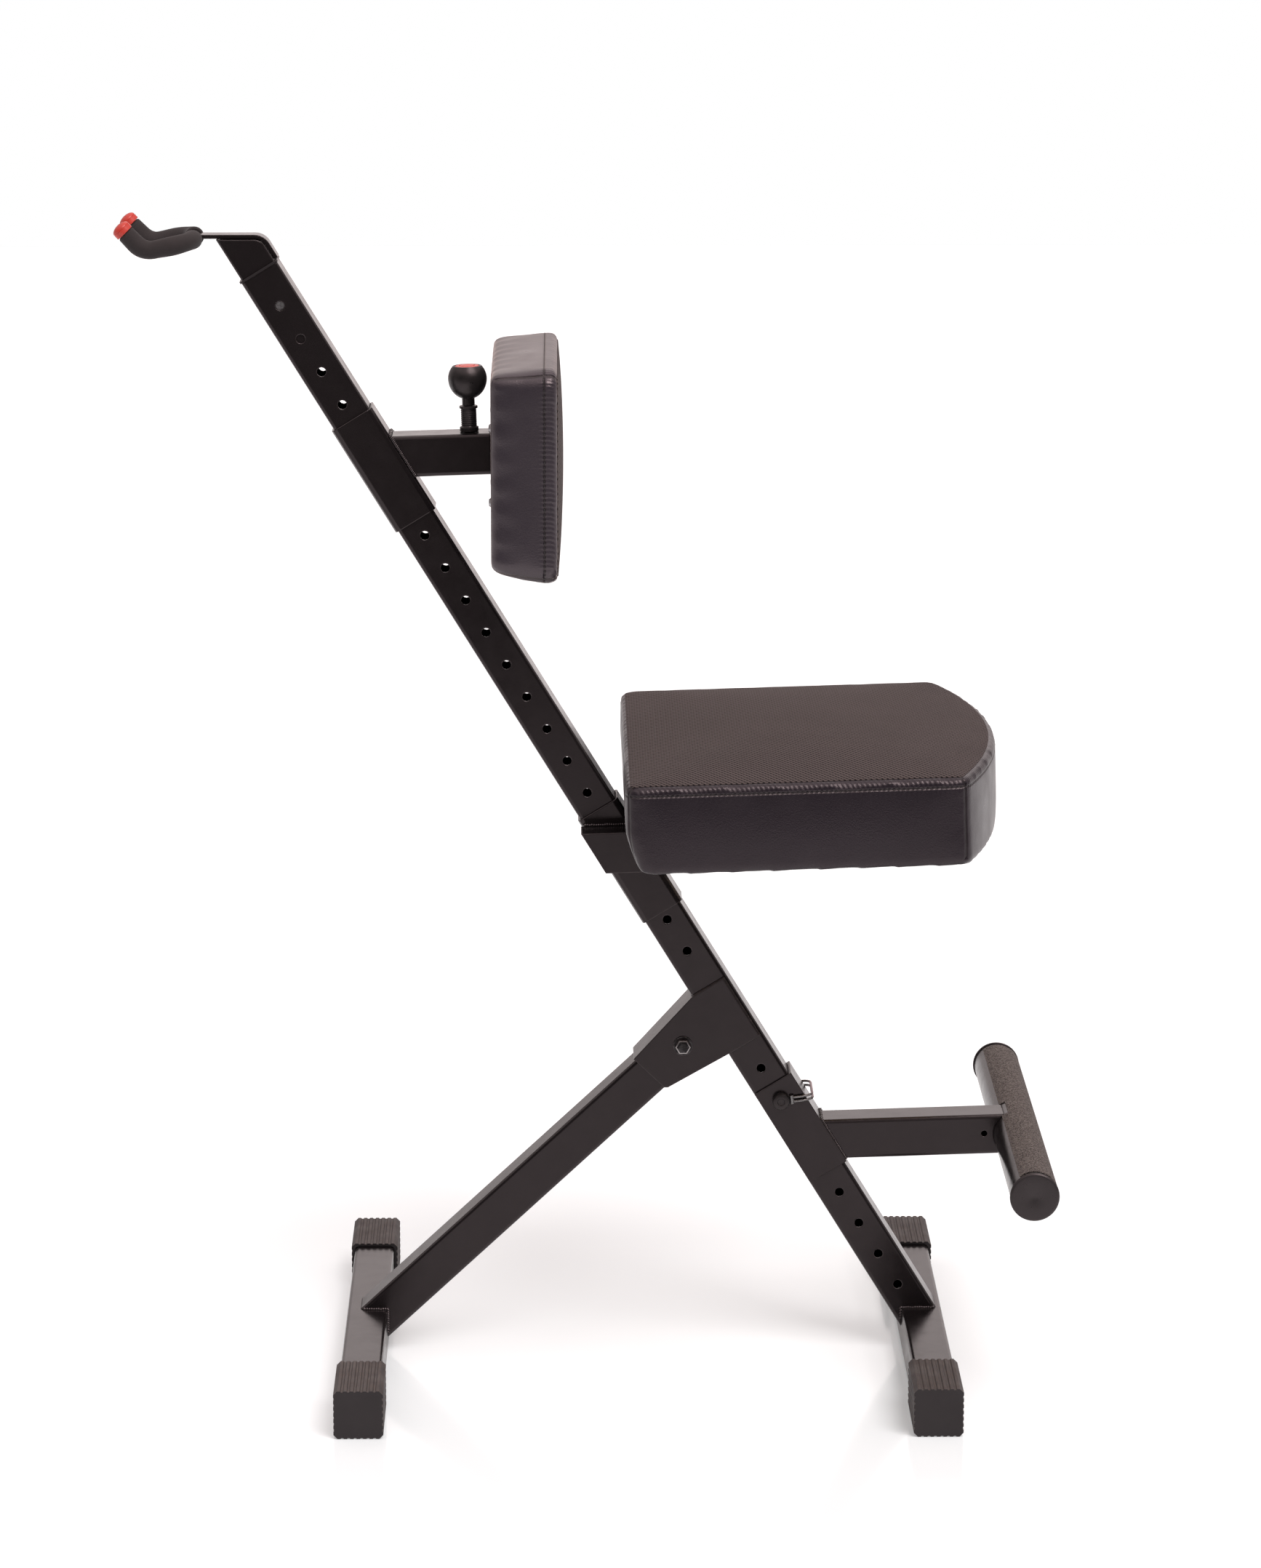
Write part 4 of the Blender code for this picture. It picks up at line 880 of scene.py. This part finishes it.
def face_panel(name, cover, place, outline):
    # the mesh face: rings of points dropped on the cover, with a thin tucked-in rim
    shares = [0.0, 0.006, 0.016, 0.03, 0.05, 0.075, 0.105, 0.14, 0.18, 0.22, 0.27, 0.32, 0.38, 0.44,
              0.5, 0.56, 0.62, 0.68, 0.74, 0.8, 0.86, 0.92, 0.97]
    lines = [drawn_in(outline, share) for share in shares]
    surface = surface_of(cover)
    down = -(place.to_3x3() @ Vector((0, 0, 1)))
    mesh = bmesh.new()

    def laid(line, lift):
        hits = [surface.ray_cast(place @ Vector((p.x, p.y, 0.3)), down) for p in line]
        return [mesh.verts.new(hit[0] + hit[1] * lift) for hit in hits]

    rows = [laid(lines[0], -sheet_below), laid(lines[0], sheet_above * 0.55)]
    rows += [laid(line, sheet_above) for line in lines[1:]]
    banded(mesh, rows)
    fan(mesh, rows[-1])
    under = [rows[0]] + [laid(line, -sheet_below) for line in lines[4::3]]
    banded(mesh, under)
    fan(mesh, under[-1])
    return made_piece(name, mesh, 60.0)


def pad_axes(look, place):
    # the pad's own axes, read from the object's
    own = place.inverted()
    return look.step("ShaderNodeMapping", {"Vector": look.place, "Location": tuple(own.translation),
                                           "Rotation": tuple(own.to_euler())},
                     vector_type="POINT").outputs["Vector"]


def off_line(look, value, offset, low, high):
    # 0 on the line where the value is the offset, 1 beyond the given distance from it
    away = look.maths("ABSOLUTE", look.maths("SUBTRACT", value, offset))
    return look.ranged(away, low, high)


def cover_vinyl(name, place, seam_height, corner_seams, tones, sheen, shine):
    # grained vinyl; topstitch and corner seams are grooves, read from the pad's own axes, and are
    # painted dark as shade in the groove. A corner seam is the line where x and y, weighed by its two
    # shares, make its offset.
    look = Look(name, Specular_IOR_Level=shine, Sheen_Weight=sheen, Sheen_Roughness=0.3,
                Sheen_Tint=(1.0, 0.78, 0.72))
    axes = look.split(pad_axes(look, place))
    groove = off_line(look, axes["Z"], seam_height, 0.0002, 0.0016)
    away = [look.maths("ABSOLUTE", axes[axis]) for axis in ("X", "Y")]
    for x_share, y_share, offset in corner_seams:
        across = look.maths("ADD", look.maths("MULTIPLY", away[0], x_share),
                            look.maths("MULTIPLY", away[1], y_share))
        behind = look.ranged(axes["Z"], 0.003, 0.006, 1.0, 0.0)
        seam = look.maths("MAXIMUM", off_line(look, across, offset, 0.0003, 0.0021), behind)
        groove = look.maths("MINIMUM", groove, seam)
    # the grooves take a near-black colour: painted shade
    tone = look.blend(groove, seam_painted_shade, look.tone(9.0, *tones))
    run = look.maths("MULTIPLY", look.maths("ADD", axes["X"], axes["Y"]), 2 * pi / pucker_pitch)
    run = look.maths("ADD", run, look.maths("MULTIPLY", look.noise(45.0), 3.0))
    pucker = look.maths("MULTIPLY", look.maths("SINE", run),
                        look.ranged(axes["Z"], seam_height - 0.006, seam_height))
    grain = look.step("ShaderNodeTexVoronoi", {"Vector": look.place, "Scale": 900.0},
                      feature="SMOOTH_F1").outputs["Distance"]
    relief = None
    for height, strength, depth in ((look.noise(28.0, 2.0), 0.22, 0.0014), (pucker, 0.2, 0.0005),
                                    (grain, 0.4, 0.0003), (look.noise(700.0, 4.0), 0.1, 0.0002),
                                    (groove, 0.85, 0.0012)):
        relief = look.bump(height, strength, depth, relief)
    look.feed(Base_Color=tone, Normal=relief)
    look.shine(26.0, 0.27, 0.37)
    return look.made


def spacer_mesh(name, place):
    # rows of small open cells in a knitted face, between two crossed waves; the cells are painted near
    # black as shade inside them
    look = Look(name, 0.82, Specular_IOR_Level=0.2, Sheen_Weight=0.08, Sheen_Roughness=0.45,
                Sheen_Tint=(0.95, 0.86, 0.84))
    wobble = look.step("ShaderNodeTexNoise", {"Vector": look.place, "Scale": 60.0, "Detail": 2.0})
    wobble = look.vectors("MULTIPLY", wobble.outputs["Color"], (0.3, 0.3, 0.0))["Vector"]
    spread = look.vectors("MULTIPLY", pad_axes(look, place), (1 / cell_along, 1 / cell_across, 0.0))
    cells = look.split(look.vectors("ADD", spread["Vector"], wobble)["Vector"])
    waves = []
    for slope in (1.0, -1.0):
        leaning = look.maths("ADD", cells["X"], look.maths("MULTIPLY", cells["Y"], slope))
        waves.append(look.maths("SINE", look.maths("MULTIPLY", leaning, pi)))
    crossed = look.maths("ADD", look.maths("MULTIPLY", waves[1], 0.42), 0.58)
    knit = look.ranged(look.maths("MULTIPLY", waves[0], crossed), -0.2, 0.75, 1.0, 0.0)
    tone = look.tone(16.0, (0.078, 0.06, 0.058), (0.106, 0.082, 0.079))
    strands = look.grain(1300.0, 0.25, 0.0003, None, 2.0)
    # the open cells are painted near black: painted shade inside them
    look.feed(Base_Color=look.blend(knit, (0.006, 0.005, 0.005), tone),
              Normal=look.bump(knit, 0.8, 0.0012, strands))
    return look.made


look = Look("sewing_thread", 0.6, Specular_IOR_Level=0.4, Sheen_Weight=0.3)
look.feed(Base_Color=look.tone(400.0, (0.02, 0.018, 0.02), (0.05, 0.045, 0.048)))
sewing_thread = look.made

stitches = Recipe("topstitch", Spacing="Float", Length="Float", Radius="Float", Seed="Int",
                  Finish="Material")
long_way = stitches.maths("MULTIPLY", stitches.maths("DIVIDE", stitches.given["Length"],
                                                     stitches.given["Radius"]), 0.5)
long_way = stitches.step("ShaderNodeCombineXYZ", {"X": 1.0, "Y": 1.0, "Z": long_way}).outputs[0]
thread = stitches.shape("MeshUVSphere", Segments=6, Rings=5, Radius=stitches.given["Radius"])
thread = stitches.shape("Transform", Geometry=thread, Scale=long_way)
laid_along(stitches, thread, (0.9, 0.9, 0.92), (1.1, 1.1, 1.04))


def sewn_pad(name, body, place, form, face_outline, seam_outline, seam_height, fill, seed, **vinyl):
    # a cover on its filling, its mesh face inside the edge, and a row of stitches on its side
    rings, drawn, *limits = form
    cover = stuffed(skinned(name + "_cover", rings, place, drawn), place, *limits)
    fitted(cover, body, "pad_vinyl", cover_vinyl(name + "_vinyl", place, seam_height, **vinyl),
           name + "_cushion")
    face = face_panel(name + "_mesh_face", cover, place, face_outline)
    fitted(face, body, "pad_mesh", spacer_mesh(name + "_spacer_mesh", place), name + "_panel")
    surface = surface_of(cover)
    spots = [surface.find_nearest(place @ Vector((p.x, p.y, seam_height))) for p in seam_outline]
    stitches.run(name + "_topstitch", body, "pad_vinyl",
                 [[spot[0] + spot[1] * stitch_lift for spot in spots]],
                 {"Spacing": stitch_length + stitch_gap, "Length": stitch_length,
                  "Radius": stitch_radius, "Seed": seed, "Finish": sewing_thread}, closed=True)


pad_low, pad_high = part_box("backrest_cushion")
upright_axes = Matrix(((0, 0, 1, 0), (1, 0, 0, 0), (0, 1, 0, 0), (0, 0, 0, 1)))
pad_place = Matrix.Translation((pad_low.x, 0, (pad_low.z + pad_high.z) / 2)) @ upright_axes
pad_corners = [Vector((sx * pad_width / 2, sy * pad_height / 2, 0))
               for sx, sy in ((-1, -1), (1, -1), (1, 1), (-1, 1))]
pad_line = closed_line(pad_corners, [pad_corner] * 4)
pad_edge = face_edge - pad_flare
pad_rings = [(inset_line(pad_line, inset), height) for inset, height in (
    (0.0085, 0.0004), (0.005, 0.0026), (0.0024, 0.0075), (0.0012, 0.016), (0.0002, 0.03),
    (-pad_flare, pad_band - 0.012), (-pad_flare, pad_band - 0.005),
    (0.0008 - pad_flare, pad_band - 0.0014), (pad_edge, pad_band))]
pad_rings += crowned(inset_line(pad_line, pad_edge), (0.08, 0.2, 0.4, 0.65, 0.9), pad_band,
                     pad_crown)


def pad_drawn(x, y, z):
    # the cover is pulled in under the board at the pad's foot, and a little uneven behind
    back = max(0.0, 1.0 - z / back_reach)
    foot = foot_pull * back * min(1.0, max(0.0, -y / foot_reach))
    uneven = back_wave * back * (sin(x * 190.0) + sin(y * 260.0 + 1.0))
    return Vector((x * (1 - 2 * uneven / pad_width), (y + foot) * (1 - 2 * uneven / pad_height), z))


def pad_held(x, y, z):
    # sewn along its edges, and tacked to the board behind
    if z < pad_tacked:
        return 1.0
    inside = max(abs(x) - pad_width / 2, abs(y) - pad_height / 2) <= -sewn_band
    return 0.0 if inside else sewn_share(z, pad_band, pad_seam)


sewn_pad("backrest", "backrest_pad", pad_place,
         (pad_rings, pad_drawn, pad_voxel, pad_held, pad_band, pad_rooms),
         inset_line(pad_line, pad_edge + 0.0024), inset_line(pad_line, -pad_flare), pad_seam, 0.85, 2,
         corner_seams=[(0.707, -0.707, 0.707 * (pad_width - pad_height) / 2)],
         # the backrest's tones are painted lighter than the seat's, though both are the same vinyl:
         # painted light
         tones=((0.03, 0.025, 0.033), (0.041, 0.034, 0.043)), sheen=0.42, shine=0.8)

screws = Recipe("button_screws", Radius="Float", Height="Float", Finish="Material",
                Socket="Material")
narrow, hollow = [screws.maths("MULTIPLY", screws.given["Radius"], share) for share in (0.62, 0.4)]
raised = screws.step("ShaderNodeCombineXYZ", {"Z": screws.given["Height"]}).outputs[0]
dome = screws.shape("MeshCone", Vertices=24, Radius_Top=narrow, Depth=screws.given["Height"],
                    Radius_Bottom=screws.given["Radius"])
hole = screws.shape("MeshCylinder", Vertices=6, Radius=hollow, Depth=0.0002)
hole = screws.shape("Transform", Geometry=hole, Translation=raised)
heads = screws.step("GeometryNodeJoinGeometry")
for head, material in ((dome, "Finish"), (hole, "Socket")):
    head = screws.shape("InstanceOnPoints", Points=screws.given["Geometry"], Instance=head)
    head = screws.shape("RealizeInstances", Geometry=head)
    head = screws.shape("SetMaterial", Geometry=head, Material=screws.given[material])
    screws.fill(heads.inputs[0], head)
screws.step("NodeGroupOutput", {"Geometry": heads.outputs[0]})


def button_screws(name, body, rows, place):
    points = [[Vector((x, y, 0))] for x in rows[0] for y in rows[1]]
    screws.run(name, body, "zinc_steel", points, {"Radius": 0.0048, "Height": 0.0024,
                                                  "Finish": button_zinc, "Socket": moulded_nylon},
               place=place)


low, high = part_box("backrest_plate")
behind = Matrix.Translation((low.x, 0, (low.z + high.z) / 2)) @ Matrix.Rotation(-pi / 2, 4, "Y")
plate_reach = [(high[axis] - low[axis]) / 2 - 0.011 for axis in (2, 1)]
button_screws("backrest_screws", "backrest_pad", [(-reach, reach) for reach in plate_reach], behind)

# ---------------------------------------------------------------------------------------------
# Pad boards: plywood, hidden behind each cover, with the layers showing at the edge. Both
# keep their CAD shape.
look = Look("plywood", 0.7, Specular_IOR_Level=0.3)
layers = look.step("ShaderNodeTexWave", {"Vector": look.place, "Scale": 180.0, "Distortion": 3.0,
                                         "Detail": 3.0}, bands_direction="X").outputs["Fac"]
look.feed(Base_Color=look.blend(layers, (0.38, 0.25, 0.14), (0.52, 0.37, 0.22)),
          Normal=look.bump(layers, 0.15, 0.0004))
dressed(("backrest_board", "seat_board"), look.made)

# ---------------------------------------------------------------------------------------------
# Seat: a folded steel bracket welded round its sleeve, and a thick foam pad in the same vinyl
# and mesh. The pad is square at the back and bowed at the front, with a seam at each front corner.
seat_place = Matrix.Translation((0.034, 0, 0.5113)) @ Matrix.Rotation(-arm_rise, 4, "Y")
seat_width = 0.45
seat_side = 0.3075
seat_bulge = 0.0395
seat_corner = 0.013
bow_fillet = 0.02
seat_edge = 0.004
rim_drop = 0.0034
rim_reach = 0.03
rim_width, rim_slope = 0.0125, 0.0045
bracket_reach = 0.066
seat_fold = 0.0775
seat_crown = 0.0075
seat_seam = seat_fold - 0.0078
seat_tacked = 0.003
seat_voxel = 0.0052
seat_rooms = (0.006, 0.0018)
corner_seam = 0.006
seat_rear_draw = 0.0115
seat_rear_depth = 0.034
bracket_web = 0.0029
bow_radius = (seat_width ** 2 / 4 + seat_bulge ** 2) / (2 * seat_bulge)
bow_centre = seat_side + seat_bulge - bow_radius

seat_corners = [Vector((0, seat_width / 2, 0)), Vector((0, -seat_width / 2, 0))]
for tenth in range(-10, 11):
    across = seat_width / 2 * tenth / 10
    seat_corners.append(Vector((bow_centre + sqrt(bow_radius ** 2 - across ** 2), across, 0)))
seat_radii = [seat_corner] * 3 + [bow_fillet] * (len(seat_corners) - 4) + [seat_corner]
seat_line = closed_line(seat_corners, seat_radii)


def seat_ring(inset, height):
    # the rear face slopes forward towards its foot and leans in slightly at its top
    drawn = (seat_rear_draw * max(0.0, 1 - height / seat_rear_depth) + 0.002 * height / seat_fold)
    return [p + Vector((drawn * max(0.0, 1 - p.x / (seat_side + seat_bulge)), 0, 0))
            for p in inset_line(seat_line, inset)], height


seat_rings = [seat_ring(*pair) for pair in (
    (0.016, 0.0004), (0.0125, 0.0003), (0.009, 0.0001), (0.005, 0.0004), (0.0022, 0.0022),
    (0.001, 0.006), (0.0006, 0.02), (0.0006, 0.034), (0.0006, seat_fold - 0.005),
    (0.0014, seat_fold - 0.0012), (seat_edge, seat_fold))]
seat_rings += crowned(inset_line(seat_line, seat_edge), (0.06, 0.15, 0.3, 0.55, 0.85), seat_fold,
                      seat_crown)


def edge_of_seat(x, y):
    # how far inside the seat's outline a point lies, roughly
    return min(x, seat_width / 2 - abs(y), bow_radius - hypot(x - bow_centre, y))


def seat_held(x, y, z):
    # sewn along its edges and up its front corners, and tacked to the board below
    if z < seat_tacked:
        return 1.0
    if edge_of_seat(x, y) >= sewn_band:
        return 0.0
    corner = hypot(x - seat_side, abs(y) - seat_width / 2)
    return sewn_share(z, seat_fold, seat_seam, max(0.0, corner - corner_seam))


def seat_drawn(x, y, z):
    # the rim hangs below the board, except where the bracket passes under it
    clear = min(1.0, max(0.0, (abs(y) - bracket_reach) / rim_reach))
    foot = max(0.0, 1.0 - z / rim_reach)
    rim = min(1.0, max(0.0, (rim_width - edge_of_seat(x, y)) / rim_slope))
    return Vector((x, y, z - rim_drop * clear * foot * rim))


sewn_pad("seat", "seat_carriage", seat_place,
         (seat_rings, seat_drawn, seat_voxel, seat_held, seat_fold, seat_rooms),
         inset_line(seat_line, seat_edge + 0.0026), seat_line, seat_seam, 0.9, 4,
         corner_seams=[(0.707, -0.707, 0.707 * (seat_side - seat_width / 2)),
                       (0.707, 0.707, 0.707 * seat_width / 2)],
         # the same vinyl as the backrest, in darker tones; the backrest's lighter tones are painted
         # light
         tones=((0.0125, 0.0096, 0.0138), (0.018, 0.014, 0.0195)), sheen=0.05, shine=0.5)
lines = [[seat_place @ Vector((x, side * 0.0226, bead_stand)) for x in (-0.035, 0.002)]
         for side in (-1, 1)]
weld("seat_bracket_weld", "seat_carriage", lines, 19, 0.0021)
underneath = Matrix.Translation((0, 0, -bracket_web)) @ Matrix.Rotation(pi, 4, "X")
button_screws("seat_screws", "seat_carriage", ((0.085, 0.21), (-0.034, 0.034)),
              seat_place @ underneath)

# ---------------------------------------------------------------------------------------------
# Footrest: a tee bar of round tube with coarse anti-slip tape on top and a plastic plug in each
# end, on a square arm that is welded to a saddle open at the back.
bar_radius, bar_bore = 0.0212, 0.0196
bar_half = 0.2285
bar_chamfer = 0.0003
saddle_out = tube_half + 0.0003 + 0.0025
low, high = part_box("footrest_bar")
bar_centre = (low + high) / 2
quarter_turn = Matrix.Rotation(radians(90), 4, "X")
bar_profile = [(bar_bore, -bar_half), (bar_radius - bar_chamfer, -bar_half),
               (bar_radius, bar_chamfer - bar_half), (bar_radius, bar_half - bar_chamfer),
               (bar_radius - bar_chamfer, bar_half), (bar_bore, bar_half), (bar_bore, -bar_half)]
fitted(lathed("footrest_tube", bar_profile, Matrix.Translation(bar_centre) @ quarter_turn, 96),
       "footrest", "frame_paint", rod_coat, "footrest_bar")

look = Look("grip_tape", 0.9, Specular_IOR_Level=0.35)
grit = look.step("ShaderNodeTexVoronoi", {"Vector": look.place, "Scale": 1050.0}).outputs
coarse = look.bump(grit["Distance"], 0.65, 0.0006)
look.feed(Base_Color=look.blend(look.ranged(grit["Color"], 0.25, 0.75), (0.042, 0.036, 0.034),
                                (0.185, 0.16, 0.148)),
          Normal=look.grain(300.0, 0.2, 0.0008, coarse))
dressed(("footrest_grip",), look.made)

plug_profile = [(0, -0.011), (0.015, -0.011), (0.019, -0.01), (0.0193, 0.0003),
                (0.022, 0.0003), (0.0225, 0.0007), (0.0226, 0.0013), (0.0222, 0.0023),
                (0.0212, 0.0031), (0.02, 0.0033), (0.004, 0.0033), (0.003, 0.003), (0, 0.0029)]
for name, side in (("near", -1), ("far", 1)):
    place = (Matrix.Translation(bar_centre + Vector((0, side * bar_half, 0)))
             @ Matrix.Rotation(radians(-90 * side), 4, "X"))
    fitted(lathed("footrest_plug_" + name, plug_profile, place, 80), "footrest", "black_plastic",
           moulded_nylon, "footrest_end_" + name)

weld("footrest_root_weld", "footrest", arm_root_lines("footrest_arm", saddle_out), 17)

# ---------------------------------------------------------------------------------------------
# Hitch pin: a headed pin through the saddle and the post, with a sprung wire bail that swings
# round the post's front and snaps behind the pin's tail. The wire is bright zinc-plated.
low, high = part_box("hitch_pin")
head_place = Matrix.Translation(((low.x + high.x) / 2, low.y, (low.z + high.z) / 2)) @ quarter_turn
head_profile = [(0, -0.0108), (0.004, -0.0108), (0.004, -0.008), (0.007, -0.008),
                (0.0078, -0.0072), (0.0078, -0.0016), (0.0072, -0.0004), (0.0062, 0.0),
                (0.0036, -0.0001), (0.003, -0.0008), (0, -0.0009)]
fitted(lathed("hitch_pin_head", head_profile, head_place, 48), "hitch_pin", "black_plastic",
       knob_gloss, "hitch_pin")
dressed(("hitch_pin_tail",), button_zinc)
dressed(("hitch_wire",), zinc_plate("wire_zinc", (0.2, 0.19, 0.19), (0.46, 0.45, 0.45), 0.2))
